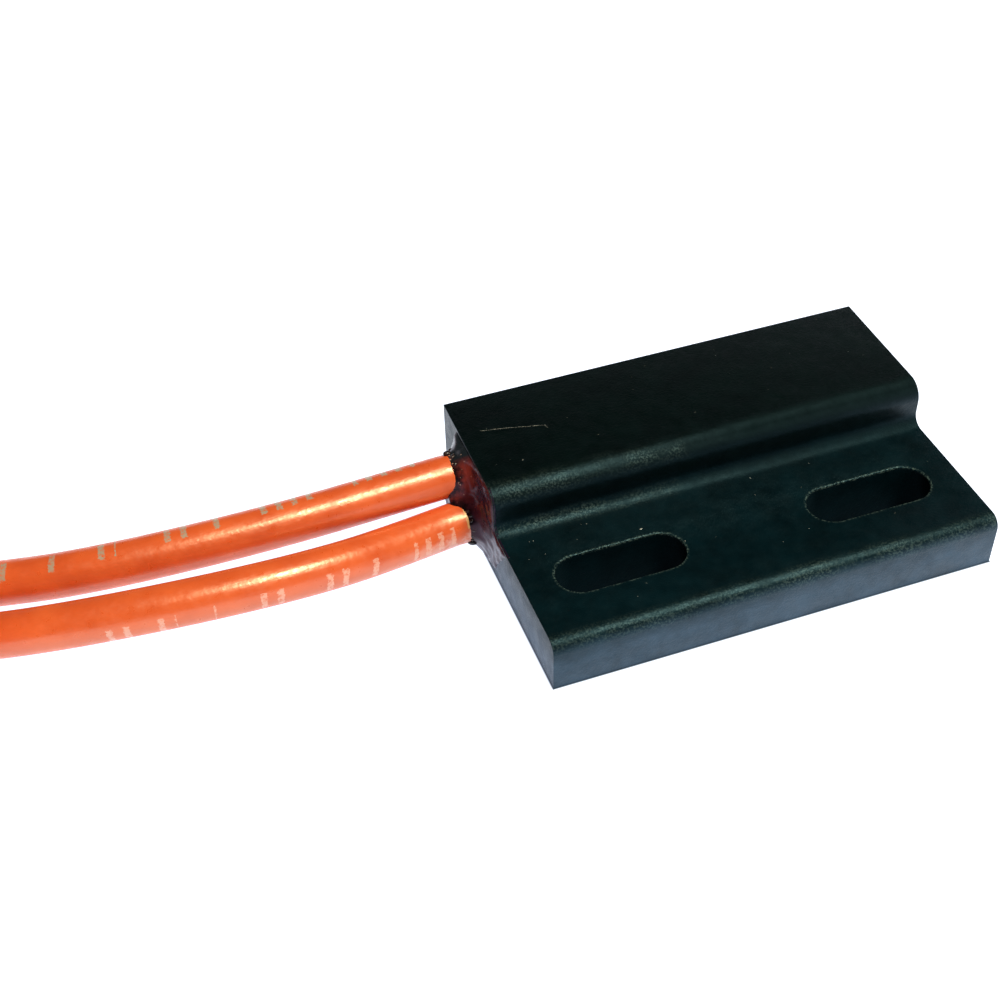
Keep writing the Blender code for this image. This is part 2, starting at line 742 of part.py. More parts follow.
def make_tie():
    """A flat band round the hank's rear run, which holds the tails down too."""
    gap = 2 * FIT_GAP
    bend_low = HANK_INNER_BEND - LEAD_RADIUS - gap
    bend_high = HANK_OUTER_BEND + LEAD_RADIUS + gap
    low = (HANK_MID_Y + bend_low, HANK_BASE - FIT_GAP)
    high = (HANK_MID_Y + bend_high, TAIL_LAYER + LEAD_RADIUS + gap)
    corner = gap
    inner = rounded_box_outline(low, high, corner)
    outer_low = (low[0] - TIE_THICKNESS, low[1] - TIE_THICKNESS)
    outer_high = (high[0] + TIE_THICKNESS, high[1] + TIE_THICKNESS)
    outer = rounded_box_outline(outer_low, outer_high, corner + TIE_THICKNESS)
    middle = HANK_MID_X + TIE_FROM_MIDDLE
    start, end = middle - TIE_WIDTH / 2, middle + TIE_WIDTH / 2
    levels = [(start, outer), (end, outer), (end, inner), (start, inner)]
    rings = [[(x, y, z) for y, z in outline] for x, outline in levels]
    return add_object("lead_tie", lofted("lead_tie", rings, closed=True), white_tie())


def clear_scene():
    for old in list(bpy.data.objects):
        bpy.data.objects.remove(old, do_unlink=True)


def main():
    clear_scene()
    make_housing()
    make_potting()
    make_glass()
    make_buffer_sleeve()
    for which, side in (("near", -1), ("far", 1)):
        make_reed_lead(f"{which}_reed_lead", side)
        make_reed_blade(f"{which}_reed_blade", side)
        make_crimp(which)
        make_splice_sleeve(which)
    make_strands("front", front_conductor_line())
    make_strands("rear", rear_conductor_line())
    for which in ("rear", "front"):
        make_lead(which)
        make_tail(which)
    make_hank()
    make_tie()


main()
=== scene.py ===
# %% [markdown]
# # A door contact sensor, built in Blender
# A door contact sensor tells an alarm whether a door is shut. A glass reed switch lies in a slim black housing,
# potted in red resin, and two orange leads carry its signal away. A magnet on the door closes the switch. The
# lesson starts from a finished CAD frame, which holds every dimension. Each step makes one piece or one finish,
# and says what it is on the real sensor.

# %% The frame
import math
from functools import partial, reduce

import bmesh
import bpy
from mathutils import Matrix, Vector, noise


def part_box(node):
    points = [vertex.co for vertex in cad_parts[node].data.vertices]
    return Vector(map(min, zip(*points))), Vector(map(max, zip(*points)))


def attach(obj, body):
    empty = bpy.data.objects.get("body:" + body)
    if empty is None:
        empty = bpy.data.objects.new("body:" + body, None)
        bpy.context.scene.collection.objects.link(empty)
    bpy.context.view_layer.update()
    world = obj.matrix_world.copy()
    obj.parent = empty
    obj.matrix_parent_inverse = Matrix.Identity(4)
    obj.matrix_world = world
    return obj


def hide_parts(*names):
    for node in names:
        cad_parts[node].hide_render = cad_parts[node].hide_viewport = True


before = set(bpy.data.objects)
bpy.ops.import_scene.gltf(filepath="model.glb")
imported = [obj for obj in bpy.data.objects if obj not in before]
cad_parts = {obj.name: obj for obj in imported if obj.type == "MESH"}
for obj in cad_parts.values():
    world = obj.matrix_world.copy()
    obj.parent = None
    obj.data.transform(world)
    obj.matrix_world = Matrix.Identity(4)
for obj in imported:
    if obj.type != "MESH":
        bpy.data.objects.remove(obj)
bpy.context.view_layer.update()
MM = 0.001
BODY = "sensor"

# %% [markdown]
# ## Where things are
# The frame is in metres with its origin under the middle of the housing. The housing's corners come from its
# CAD node, so that nothing here has to be typed twice. The few other sizes are those of the mouldings and the
# leads.

# %% Sizes taken from the frame
housing_low, housing_high = (Vector(corner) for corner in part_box("housing"))
LEFT, RIGHT = housing_low.x, housing_high.x
FRONT, REAR = housing_low.y, housing_high.y
TOP = housing_high.z
FLANGE_TOP = 3.5 * MM
BLOCK_FRONT = REAR - 9.25 * MM
CAVITY_FRONT = BLOCK_FRONT + 0.65 * MM
CAVITY_REAR = REAR - 2.45 * MM
CAVITY_FLOOR = 0.5 * MM
CAVITY_ROOF = TOP - 0.6 * MM
LEAD_RADIUS = 1.35 * MM
REAR_MOUTH = Vector((LEFT, 5.35 * MM, 4.2 * MM))
FRONT_MOUTH = Vector((LEFT, 3.3 * MM, 2.1 * MM))
print("housing", [round(v / MM, 2) for v in housing_high - housing_low], "mm")

# %% [markdown]
# ## The camera
# A camera is a place, a direction and a focal length. Three unit vectors, right, up and back, make the columns
# of its rotation. It looks down at the left front corner, and the leads run out of view on the left.

# %% Camera
CAMERA_PLACE = Vector((-35.501, -63.766, 68.646)) * MM
CAMERA_RIGHT = Vector((0.94063, -0.33876, -0.02125)).normalized()
CAMERA_BACK = -Vector((0.23499, 0.69511, -0.67942)).normalized()
CAMERA_UP = CAMERA_BACK.cross(CAMERA_RIGHT)


def place_camera():
    """A camera from its place and its three directions."""
    data = bpy.data.cameras.new("studio_camera")
    data.lens = 56.54
    data.sensor_width = 36
    data.clip_start = 0.001
    camera = bpy.data.objects.new("studio_camera", data)
    for column, direction in enumerate((CAMERA_RIGHT, CAMERA_UP, CAMERA_BACK, CAMERA_PLACE)):
        for row in range(3):
            camera.matrix_world[row][column] = direction[row]
    bpy.context.scene.collection.objects.link(camera)
    bpy.context.scene.camera = camera
    return camera


camera = place_camera()
print("camera looks along", [round(-v, 3) for v in CAMERA_BACK])

# %% [markdown]
# ## The path of each lead
# A flying lead leaves the resin, crosses the table in a slack curve and is wound, out of view, into a tied
# hank. Its middle line comes first. A few chosen points give the slack curve, and a rule gives the hank: two
# straight runs joined by half circles, with each turn one lead's thickness above the last.

# %% Points of the two routes
REAR_ROUTE = [
    (-2.71, 4.36, 4.2),
    (-5.71, 4.2, 4.2),
    (-9.71, 4, 4.2),
    (-13.71, 3.91, 4.2),
    (-17.71, 4, 4.15),
    (-21.71, 4.38, 3.95),
    (-25.21, 5.08, 3.6),
    (-28.21, 6.03, 3.2),
    (-31.21, 7.17, 2.7),
    (-34.4, 8.3, 2.08),
    (-38.2, 9.38, 1.85),
    (-42.3, 10.1, 1.85),
]
FRONT_ROUTE = [
    (-2.21, 2.28, 2.1),
    (-5.32, 1.47, 2.5),
    (-8.61, 0.5, 3.15),
    (-11.81, -0.03, 3.6),
    (-15.21, -0.15, 3.8),
    (-18.71, 0.05, 3.8),
    (-22.21, 0.53, 3.62),
    (-25.71, 1.27, 3.28),
    (-28.91, 2.28, 2.8),
    (-31.91, 3.57, 2.3),
    (-35, 5.0, 1.9),
    (-38.6, 6.3, 1.85),
    (-42.3, 7.2, 1.85),
]

# %% Sizes of the hank
HANK_MIDDLE = Vector((LEFT - 56.77 * MM, CAVITY_FRONT - 0.62 * MM, 0))
HANK_STRAIGHT = 23.5 * MM
HANK_PITCH = 2.75 * MM
HANK_LOWEST = 1.85 * MM
CLIMB = 12.7 * MM
HANK_BENDS = {"rear": 10.9 * MM, "front": 8.15 * MM}
TAILS = {"rear": 22.9 * MM, "front": 58.1 * MM}
INNER_ENDS = {"rear": 9.515 * MM, "front": LEFT + 2.1 * MM}


def smooth_step(t):
    """From 0 to 1 with level ends."""
    t = min(1, max(0, t))
    return t * t * (3 - 2 * t)


# %% Points along a route and round the hank
def smooth_line(points, steps=12):
    """A curve through every point (centripetal Catmull-Rom)."""
    ends = [2 * points[0] - points[1], *points, 2 * points[-1] - points[-2]]
    line = [points[0]]
    for a, b, c, d in zip(ends, ends[1:], ends[2:], ends[3:]):
        t1 = math.sqrt((b - a).length)
        t2 = t1 + math.sqrt((c - b).length)
        t3 = t2 + math.sqrt((d - c).length)
        for i in range(1, steps + 1):
            t = t1 + (t2 - t1) * i / steps
            ab, bc, cd = a.lerp(b, t / t1), b.lerp(c, (t - t1) / (t2 - t1)), c.lerp(d, (t - t2) / (t3 - t2))
            abc, bcd = ab.lerp(bc, t / t2), bc.lerp(cd, (t - t1) / (t3 - t1))
            line.append(abc.lerp(bcd, (t - t1) / (t2 - t1)))
    return line


def turn_point(bend, distance, layer):
    """A point of one turn. It starts at the rear run's right end, and climbs a layer before the right bend."""
    curve = math.pi * bend
    right, left = HANK_MIDDLE.x + HANK_STRAIGHT / 2, HANK_MIDDLE.x - HANK_STRAIGHT / 2
    height = HANK_LOWEST + layer * HANK_PITCH
    climb = HANK_STRAIGHT + curve + HANK_STRAIGHT
    height += HANK_PITCH * smooth_step((distance - climb + CLIMB) / CLIMB)
    if distance < HANK_STRAIGHT:
        return Vector((right - distance, HANK_MIDDLE.y + bend, height))
    distance -= HANK_STRAIGHT
    if distance < curve:
        a = math.pi / 2 + distance / bend
        return Vector((left + bend * math.cos(a), HANK_MIDDLE.y + bend * math.sin(a), height))
    distance -= curve
    if distance < HANK_STRAIGHT:
        return Vector((left + distance, HANK_MIDDLE.y - bend, height))
    a = -math.pi / 2 + (distance - HANK_STRAIGHT) / bend
    return Vector((right + bend * math.cos(a), HANK_MIDDLE.y + bend * math.sin(a), height))


# %% The whole middle line of a lead
def evenly(line, spacing):
    """The same line with its points at equal steps of length."""
    spans = [(b - a).length for a, b in zip(line, line[1:])]
    count = round(sum(spans) / spacing)
    step = sum(spans) / count
    made, done = [line[0]], 0.0
    for a, b, span in zip(line, line[1:], spans):
        while len(made) < count and step * len(made) < done + span:
            made.append(a.lerp(b, (step * len(made) - done) / span))
        done += span
    return [*made, line[-1]]


def lead_line(which):
    """From the lead's end inside the resin, over the table and round the hank to its stripped end."""
    mouth = REAR_MOUTH if which == "rear" else FRONT_MOUTH
    route = REAR_ROUTE if which == "rear" else FRONT_ROUTE
    start = Vector((LEFT, CAVITY_FRONT, 0))
    bend, tail = HANK_BENDS[which], TAILS[which]
    turn = 2 * HANK_STRAIGHT + 2 * math.pi * bend
    joins = [turn_point(bend, d * MM, 0) for d in (0, 4)]
    outside = [mouth - Vector((1.5 * MM, 0, 0)), *[start + Vector(p) * MM for p in route], *joins]
    line = [Vector((INNER_ENDS[which], mouth.y, mouth.z)), *smooth_line(outside)]
    spacing = 1.2 * MM
    for layer in range(3):
        length = turn if layer < 2 else tail
        first = 4 * MM if layer == 0 else 0
        steps = round((length - first) / spacing)
        last = steps if layer < 2 else steps + 1
        span = (length - first) / steps
        line += [turn_point(bend, first + span * i, layer) for i in range(1 if first else 0, last)]
    clean = [line[0]]
    for point in line[1:]:
        if (point - clean[-1]).length > 0.05 * MM:
            clean.append(point)
    return evenly(clean, 0.75 * MM)


lead_lines = {which: lead_line(which) for which in ("rear", "front")}
lead_lengths = {w: sum((b - a).length for a, b in zip(p, p[1:])) for w, p in lead_lines.items()}
for which, line in lead_lines.items():
    print(which, "lead:", len(line), "points,", round(lead_lengths[which] / MM, 1), "mm")
outside = {w: lead_lengths[w] - (INNER_ENDS[w] - LEFT) for w in lead_lengths}
print("outside the housing:", {w: round(v / MM, 1) for w, v in outside.items()}, "mm")

# %% [markdown]
# ## The insulation of the leads
# Each lead is stranded copper in a thick wall of orange vinyl. A ring of points is carried along the middle
# line without twisting, and neighbouring rings are joined. Two numbers are stored at every corner: how far
# along the lead it is, and how far round from the line where the ink is printed. The finish reads them later.

# %% Rings carried along a line
def carried_frames(line):
    """Two directions across the line at each of its points, carried along without twist."""
    frames, side = [], Vector((0, 0, 1))
    for i in range(len(line)):
        along = (line[min(i + 1, len(line) - 1)] - line[max(i - 1, 0)]).normalized()
        side = (side - side.dot(along) * along).normalized()
        frames.append((side.copy(), along.cross(side)))
    return frames


def new_piece(name, shape, body=BODY):
    """Turn a bmesh into an object that rides on a CAD body."""
    data = bpy.data.meshes.new(name)
    shape.to_mesh(data)
    shape.free()
    made = bpy.data.objects.new(name, data)
    bpy.context.scene.collection.objects.link(made)
    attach(made, body)
    return made


SIDES = 28
UV_ALONG, UV_AROUND = 0.01, 0.1
PRINT_START = {"rear": 45, "front": -75}
PRINT_TWIST = {"rear": -2.2, "front": -1.3}


def insulation(which):
    """A tube along the lead's line, with its ends closed and eased."""
    line = lead_lines[which]
    frames = carried_frames(line)
    mouth_distance = INNER_ENDS[which] - LEFT
    shape = bmesh.new()
    run = shape.loops.layers.uv.new("lead_run")
    rings, spots = [], []
    distance = 0.0
    ends = (0, len(line) - 1)
    for i, (point, (up, across)) in enumerate(zip(line, frames)):
        distance += (point - line[i - 1]).length if i else 0
        radius = LEAD_RADIUS * (0.94 if i in ends else 1)
        outside = (distance - mouth_distance) / MM
        ink = math.radians(PRINT_START[which] + PRINT_TWIST[which] * outside)
        rings.append([])
        for k in range(SIDES):
            a = 2 * math.pi * k / SIDES
            spot = shape.verts.new(point + radius * (math.cos(a) * up + math.sin(a) * across))
            rings[-1].append(spot)
        spots.append((outside, ink))
    for i, (ring, after) in enumerate(zip(rings, rings[1:])):
        for k in range(SIDES):
            face = shape.faces.new((ring[k], ring[(k + 1) % SIDES], after[(k + 1) % SIDES], after[k]))
            middle = 2 * math.pi * (k + 0.5) / SIDES
            turn = (middle - spots[i][1] + math.pi) % (2 * math.pi) - math.pi - middle
            for loop, (row, step) in zip(face.loops, ((i, 0), (i, 1), (i + 1, 1), (i + 1, 0))):
                a = 2 * math.pi * (k + step) / SIDES + turn
                loop[run].uv = (spots[row][0] * UV_ALONG, a * LEAD_RADIUS / MM * UV_AROUND)
    for ring in (rings[0], rings[-1]):
        shape.faces.new(ring)
    bmesh.ops.recalc_face_normals(shape, faces=shape.faces)
    made = new_piece(f"{which}_insulation", shape)
    made.data.shade_smooth()
    made.data.set_sharp_from_angle(angle=math.radians(50))
    return made


insulations = {which: insulation(which) for which in lead_lines}
for which, made in insulations.items():
    print(made.name, len(made.data.polygons), "faces")

# %% [markdown]
# ## The stripped ends
# Each lead ends bare: the vinyl is cut back and the seven strands are twisted and tinned. Seven strands that
# wind round one another follow a rule, so Geometry Nodes makes them. One tree carries a circle along a line,
# makes a ring of copies of it and twists them, and its inputs are the sizes of a strand.

# %% Geometry Nodes helpers
def new_tree(name, inputs):
    """A Geometry Nodes tree with a geometry in, a geometry out and named inputs."""
    tree = bpy.data.node_groups.new(name, "GeometryNodeTree")
    tree.interface.new_socket("Geometry", in_out="INPUT", socket_type="NodeSocketGeometry")
    for label, kind in inputs.items():
        tree.interface.new_socket(label, in_out="INPUT", socket_type=kind)
    tree.interface.new_socket("Geometry", in_out="OUTPUT", socket_type="NodeSocketGeometry")
    return tree


def add_node(tree, kind, links=None, **settings):
    """A node with its settings, and its inputs linked or set by name or number."""
    node = tree.nodes.new(kind)
    for key, value in settings.items():
        setattr(node, key, value)
    for key, value in (links or {}).items():
        socket = node.inputs[key]
        if isinstance(value, bpy.types.NodeSocket):
            tree.links.new(value, socket)
        else:
            socket.default_value = value
    return node


def output(*what, **settings):
    """The first output of a new node."""
    return add_node(*what, **settings).outputs[0]


def grown(name, tree, source, values, body=BODY):
    """Run a tree on a source mesh or curve, and keep the result as one plain mesh."""
    holder = bpy.data.objects.new(name + "_source", source)
    bpy.context.scene.collection.objects.link(holder)
    modifier = holder.modifiers.new("grow", "NODES")
    modifier.node_group = tree
    for item in tree.interface.items_tree:
        if item.in_out == "INPUT" and item.name in values:
            modifier[item.identifier] = values[item.name]
    graph = bpy.context.evaluated_depsgraph_get()
    data = bpy.data.meshes.new_from_object(holder.evaluated_get(graph), depsgraph=graph)
    data.name = name
    bpy.data.objects.remove(holder)
    made = bpy.data.objects.new(name, data)
    bpy.context.scene.collection.objects.link(made)
    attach(made, body)
    print(name, len(data.polygons), "faces")
    return made


def curve_through(name, points):
    """A plain poly curve, for a tree to follow."""
    data = bpy.data.curves.new(name, "CURVE")
    data.dimensions = "3D"
    line = data.splines.new("POLY")
    line.points.add(len(points) - 1)
    for spot, point in zip(line.points, points):
        spot.co = (*point, 1)
    return data


# %% A tree for twisted strands
def strand_tree():
    """One strand along a curve and six wound round it."""
    tree = new_tree(
        "twisted_strands",
        {"Strand": "NodeSocketFloat", "Lay": "NodeSocketFloat", "Metal": "NodeSocketMaterial"},
    )
    given = add_node(tree, "NodeGroupInput").outputs
    length = add_node(tree, "GeometryNodeSplineParameter").outputs["Length"]
    turn = over(length, given["Lay"])
    angle = times(turn, 2 * math.pi)
    core = output(tree, "GeometryNodeSetCurveTilt", {"Curve": given["Geometry"], "Tilt": angle})
    across = times(given["Strand"], 1.06)
    circle = "GeometryNodeCurvePrimitiveCircle"
    six = output(tree, circle, {"Resolution": 6, "Radius": across}, mode="RADIUS")
    middle = output(tree, "GeometryNodeMeshLine", {"Count": 1})
    spots = add_node(tree, "GeometryNodeCurveToPoints", {"Curve": six, "Count": 6}, mode="COUNT")
    radius = times(given["Strand"], 0.5)
    one = output(tree, circle, {"Resolution": 10, "Radius": radius}, mode="RADIUS")
    joined = add_node(tree, "GeometryNodeJoinGeometry")
    tree.links.new(spots.outputs["Points"], joined.inputs[0])
    tree.links.new(middle, joined.inputs[0])
    placed = {"Points": joined.outputs[0], "Instance": one}
    seven = output(tree, "GeometryNodeInstanceOnPoints", placed)
    section = output(tree, "GeometryNodeRealizeInstances", {0: seven})
    along = {"Curve": core, "Profile Curve": section, "Fill Caps": True}
    swept = output(tree, "GeometryNodeCurveToMesh", along)
    plain = output(tree, "GeometryNodeRealizeInstances", {0: swept})
    smooth = output(tree, "GeometryNodeSetShadeSmooth", {"Geometry": plain})
    finished = add_node(tree, "GeometryNodeSetMaterial", {"Geometry": smooth, "Material": given["Metal"]})
    add_node(tree, "NodeGroupOutput", {0: finished.outputs[0]})
    return tree


def new_material(name, roughness=0.5, **values):
    """An empty Principled material, and its tree and shader for a finish to build on."""
    made = bpy.data.materials.new(name)
    made.use_nodes = True
    shader = made.node_tree.nodes["Principled BSDF"]
    shader.inputs["Roughness"].default_value = roughness
    for key, value in values.items():
        shader.inputs[key.replace("_", " ")].default_value = value
    return made, made.node_tree, shader


# %% [markdown]
# ## Helpers for the finishes
# A finish is a small network of nodes. These helpers keep each one readable: noise at a size in millimetres, a
# ramp between colours, and a bump of a given height.

# %% Finish helpers
def here(tree):
    """Places on the piece in the frame's own metres."""
    return tree.nodes.new("ShaderNodeTexCoord").outputs["Object"]


def grain(tree, size_mm, detail=4.0, rough=0.5, place=None, stretch=None):
    """Noise whose features are about size_mm across."""
    place = place or here(tree)
    if stretch:
        place = output(tree, "ShaderNodeMapping", {"Vector": place, "Scale": stretch})
    values = {"Vector": place, "Scale": 1000 / size_mm, "Detail": detail, "Roughness": rough}
    return output(tree, "ShaderNodeTexNoise", values)


def ramp(value, stops, kind="LINEAR"):
    """Colours, or greys as single numbers, at places from 0 to 1."""
    node = add_node(value.id_data, "ShaderNodeValToRGB", {0: value})
    node.color_ramp.interpolation = kind
    while len(node.color_ramp.elements) < len(stops):
        node.color_ramp.elements.new(0.5)
    for element, (place, colour) in zip(node.color_ramp.elements, stops):
        element.position = place
        element.color = (*([colour] * 3 if isinstance(colour, (int, float)) else colour), 1)
    return node.outputs[0]


def math_node(operation, *values):
    """One step of arithmetic on numbers or on other nodes' outputs."""
    tree = next(v.id_data for v in values if isinstance(v, bpy.types.NodeSocket))
    return output(tree, "ShaderNodeMath", dict(enumerate(values)), operation=operation)


def arithmetic(operation):
    """A short name for one kind of step. With more values the step is taken again with each."""
    return lambda *values: reduce(partial(math_node, operation), values)


times, plus, minus, over = map(arithmetic, ("MULTIPLY", "ADD", "SUBTRACT", "DIVIDE"))
above, below, larger = map(arithmetic, ("GREATER_THAN", "LESS_THAN", "MAXIMUM"))


def size_of(value):
    """The value without its sign."""
    return math_node("ABSOLUTE", value)


def coordinates(tree):
    """X, Y and Z of a place on the piece."""
    return add_node(tree, "ShaderNodeSeparateXYZ", {0: here(tree)}).outputs


def wire(shader, **values):
    """Link each value to the shader's input of that name."""
    for key, value in values.items():
        shader.id_data.links.new(value, shader.inputs[key.replace("_", " ")])


def blended(factor, a, b):
    """One colour over another."""
    return add_node(factor.id_data, "ShaderNodeMix", {0: factor, 6: a, 7: b}, data_type="RGBA").outputs[2]


def bump(height, depth_mm, before=None):
    """Relief of a depth in millimetres. before is an earlier bump to build on."""
    values = {"Height": height, "Distance": depth_mm * MM}
    if before:
        values["Normal"] = before
    return output(height.id_data, "ShaderNodeBump", values)


# %% [markdown]
# ## Tinned copper
# Tin flows over the strands when they are dipped, so the metal is bright with soft, dull patches.

# %% Metal finishes
def tinned_copper():
    """Bright tin with soft, dull patches."""
    made, tree, shader = new_material("tinned_copper", Metallic=1.0)
    patches = grain(tree, 0.5, 3)
    wire(
        shader,
        Base_Color=ramp(patches, [(0.35, (0.78, 0.75, 0.7)), (0.7, (0.56, 0.52, 0.47))]),
        Roughness=ramp(patches, [(0.3, 0.22), (0.7, 0.45)]),
        Normal=bump(grain(tree, 0.12, 2), 0.006),
    )
    return made


tinned = tinned_copper()
twisted = strand_tree()
STRAND = 0.31 * MM
TIP_LENGTH = 6 * MM
for which, line in lead_lines.items():
    end, along = line[-1], (line[-1] - line[-2]).normalized()
    start = end - 0.4 * MM * along
    points = [start + (TIP_LENGTH + 0.4 * MM) * i / 24 * along for i in range(25)]
    values = {"Strand": STRAND, "Lay": 8 * MM, "Metal": tinned}
    grown(f"{which}_tip", twisted, curve_through("tip", points), values)
    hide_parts(f"{which}_lead_tip")

# %% [markdown]
# ## The CAD leads
# The tubes take the place of the CAD leads, so the lead, tail and hank nodes are hidden. The hank is one solid
# in the frame, and both leads stand for it.

# %% The two leads
for which, made in insulations.items():
    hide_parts(f"{which}_lead", f"{which}_lead_tail", "lead_hank")
    print(made.name, "declared")

# %% [markdown]
# ## The housing
# The housing is one black moulding: a flange with two screw slots in front of a raised block. It has one
# section all along, so the section is drawn once and drawn out along X. The slots and the pocket for the reed
# switch are cut out after that. The corners that the mould leaves sharp are eased a little, because a real edge
# always catches a line of light.

# %% The housing's section
BLOCK_EDGE = 1.2 * MM
BLOCK_FOOT = 0.8 * MM
FLANGE_EDGE = 0.8 * MM


def arc(middle, radius, start, end, steps):
    """Points of an arc, between two angles in degrees."""
    angles = [math.radians(start + (end - start) * i / steps) for i in range(steps + 1)]
    return [(middle[0] + radius * math.cos(a), middle[1] + radius * math.sin(a)) for a in angles]


def housing_section():
    """The stepped outline in Y and Z, with a close second point beside each bend to keep the flats flat."""
    near = 0.12 * MM
    block = (BLOCK_FRONT + BLOCK_EDGE, TOP - BLOCK_EDGE)
    foot = (BLOCK_FRONT - BLOCK_FOOT, FLANGE_TOP + BLOCK_FOOT)
    flange = (FRONT + FLANGE_EDGE, FLANGE_TOP - FLANGE_EDGE)
    return [
        (REAR, 0),
        (REAR, TOP),
        (block[0] + near, TOP),
        *arc(block, BLOCK_EDGE, 90, 180, 20),
        (BLOCK_FRONT, block[1] - near),
        (BLOCK_FRONT, foot[1] + near),
        *arc(foot, BLOCK_FOOT, 0, -90, 16),
        (foot[0] - near, FLANGE_TOP),
        (flange[0] + near, FLANGE_TOP),
        *arc(flange, FLANGE_EDGE, 90, 180, 16),
        (FRONT, flange[1] - near),
        (FRONT, 0),
    ]


def drawn_out(outline, low, high, place):
    """A bmesh with the same outline at two levels. place puts an outline's point at a level."""
    shape = bmesh.new()
    ends = [[shape.verts.new(place(p, level)) for p in outline] for level in (low, high)]
    for i in range(len(outline)):
        j = (i + 1) % len(outline)
        shape.faces.new((ends[0][i], ends[0][j], ends[1][j], ends[1][i]))
    shape.faces.new(ends[0])
    shape.faces.new(ends[1])
    bmesh.ops.recalc_face_normals(shape, faces=shape.faces)
    return shape


# %% Cutting the slots and the pocket
SLOT_X = 8.165 * MM
SLOT_Y = FRONT + 4.85 * MM
SLOT_HALF_STRAIGHT = 2.55 * MM
SLOT_RADIUS = 1.5 * MM


def scratch_object(name, shape):
    """An object that's only a tool for the next cut."""
    data = bpy.data.meshes.new(name)
    shape.to_mesh(data)
    shape.free()
    made = bpy.data.objects.new(name, data)
    bpy.context.scene.collection.objects.link(made)
    return made


def slot_tool(side):
    """The prism that cuts one slot, to the left (-1) or the right (1)."""
    right = arc((side * SLOT_X + SLOT_HALF_STRAIGHT, SLOT_Y), SLOT_RADIUS, -90, 90, 24)
    left = arc((side * SLOT_X - SLOT_HALF_STRAIGHT, SLOT_Y), SLOT_RADIUS, 90, 270, 24)
    return scratch_object("slot_tool", drawn_out(right + left, -1 * MM, 5 * MM, lambda p, z: (p[0], p[1], z)))


def pocket_tool():
    """The prism that cuts the pocket, open at the left end."""
    low, high, corner = (CAVITY_FRONT, CAVITY_FLOOR), (CAVITY_REAR, CAVITY_ROOF), 0.5 * MM
    corners = [
        ((low[0] + corner, low[1] + corner), 180),
        ((high[0] - corner, low[1] + corner), 270),
        ((high[0] - corner, high[1] - corner), 0),
        ((low[0] + corner, high[1] - corner), 90),
    ]
    outline = [p for middle, start in corners for p in arc(middle, corner, start, start + 90, 6)]
    return scratch_object("pocket_tool", drawn_out(outline, LEFT - MM, RIGHT - 1.2 * MM, lambda p, x: (x, *p)))


def cut_shape(shape, tools):
    """A bmesh after exact cuts, with the tools used up."""
    holder = scratch_object("moulding", shape)
    for tool in tools:
        modifier = holder.modifiers.new("cut", "BOOLEAN")
        modifier.operation = "DIFFERENCE"
        modifier.solver = "EXACT"
        modifier.object = tool
    graph = bpy.context.evaluated_depsgraph_get()
    data = bpy.data.meshes.new_from_object(holder.evaluated_get(graph), depsgraph=graph)
    made = bmesh.new()
    made.from_mesh(data)
    for old in (holder, *tools):
        bpy.data.objects.remove(old)
    bpy.data.meshes.remove(data)
    return made


# %% The moulded housing
def ease(shape, chosen, width, segments):
    """Round the chosen edges off."""
    edges = [e for e in shape.edges if len(e.link_faces) == 2 and chosen(e)]
    settings = {"offset": width, "segments": segments, "profile": 0.5, "affect": "EDGES", "clamp_overlap": True}
    bmesh.ops.bevel(shape, geom=edges, **settings)
    return len(edges)


def around_slot(edge):
    """True on the rim that a slot leaves in the flange's top."""
    middle = (edge.verts[0].co + edge.verts[1].co) / 2
    level = all(abs(v.co.z - FLANGE_TOP) < 1e-6 for v in edge.verts)
    reach = abs(abs(middle.x) - SLOT_X) < SLOT_HALF_STRAIGHT + SLOT_RADIUS + 1e-5
    within = abs(middle.y - SLOT_Y) < SLOT_RADIUS + 1e-5
    return level and reach and within and edge.calc_face_angle(0) > 1


def mould_housing():
    """The section drawn out, with its cuts made and its edges eased."""
    shape = drawn_out(housing_section(), LEFT, RIGHT, lambda p, x: (x, *p))
    shape = cut_shape(shape, [slot_tool(-1), slot_tool(1), pocket_tool()])
    bmesh.ops.remove_doubles(shape, verts=shape.verts, dist=1e-7)
    rims = ease(shape, around_slot, 0.1 * MM, 4)
    sharp = ease(shape, lambda e: e.calc_face_angle(0) > 1, 0.05 * MM, 3)
    print("rim edges", rims, "sharp edges", sharp)
    made = new_piece("housing_moulding", shape)
    made.data.shade_smooth()
    made.data.set_sharp_from_angle(angle=math.radians(32))
    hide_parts("housing")
    return made


housing = mould_housing()
print("housing:", len(housing.data.polygons), "faces")

# %% [markdown]
# ## The resin at the mouth
# The pocket is filled with red casting resin after the switch is in. It wets everything: it climbs the leads in
# a collar, and a thin film of it has run over the end of the housing. Its surface is a height above the end
# face, so a grid of points with a rule for the height makes it: a film inside a ragged outline, and a collar
# round each lead.

# %% The rule for the resin's height
FAR_OUTSIDE = -9


def depth_in_section(y, z):
    """How far inside the housing's outline a point of the end face is, in millimetres."""
    front, top, flange = BLOCK_FRONT / MM, TOP / MM, FLANGE_TOP / MM
    edge, foot = BLOCK_EDGE / MM, BLOCK_FOOT / MM
    block = min(y - front, top - z)
    corner = (front + edge, top - edge)
    if y < corner[0] and z > corner[1]:
        block = edge - math.hypot(y - corner[0], z - corner[1])
    web = FAR_OUTSIDE
    if abs(y - front) < foot and z < flange + foot:
        web = math.hypot(y - front + foot, z - flange - foot) - foot
    return min(z, max(block, flange - z, web))


FILM_EDGE = [(1.5, 6.3), (7.2, 6.2), (7.8, 3.6), (8.2, 0.2), (1.6, 0.05), (0.2, 0.5), (-2.1, 3.7)]


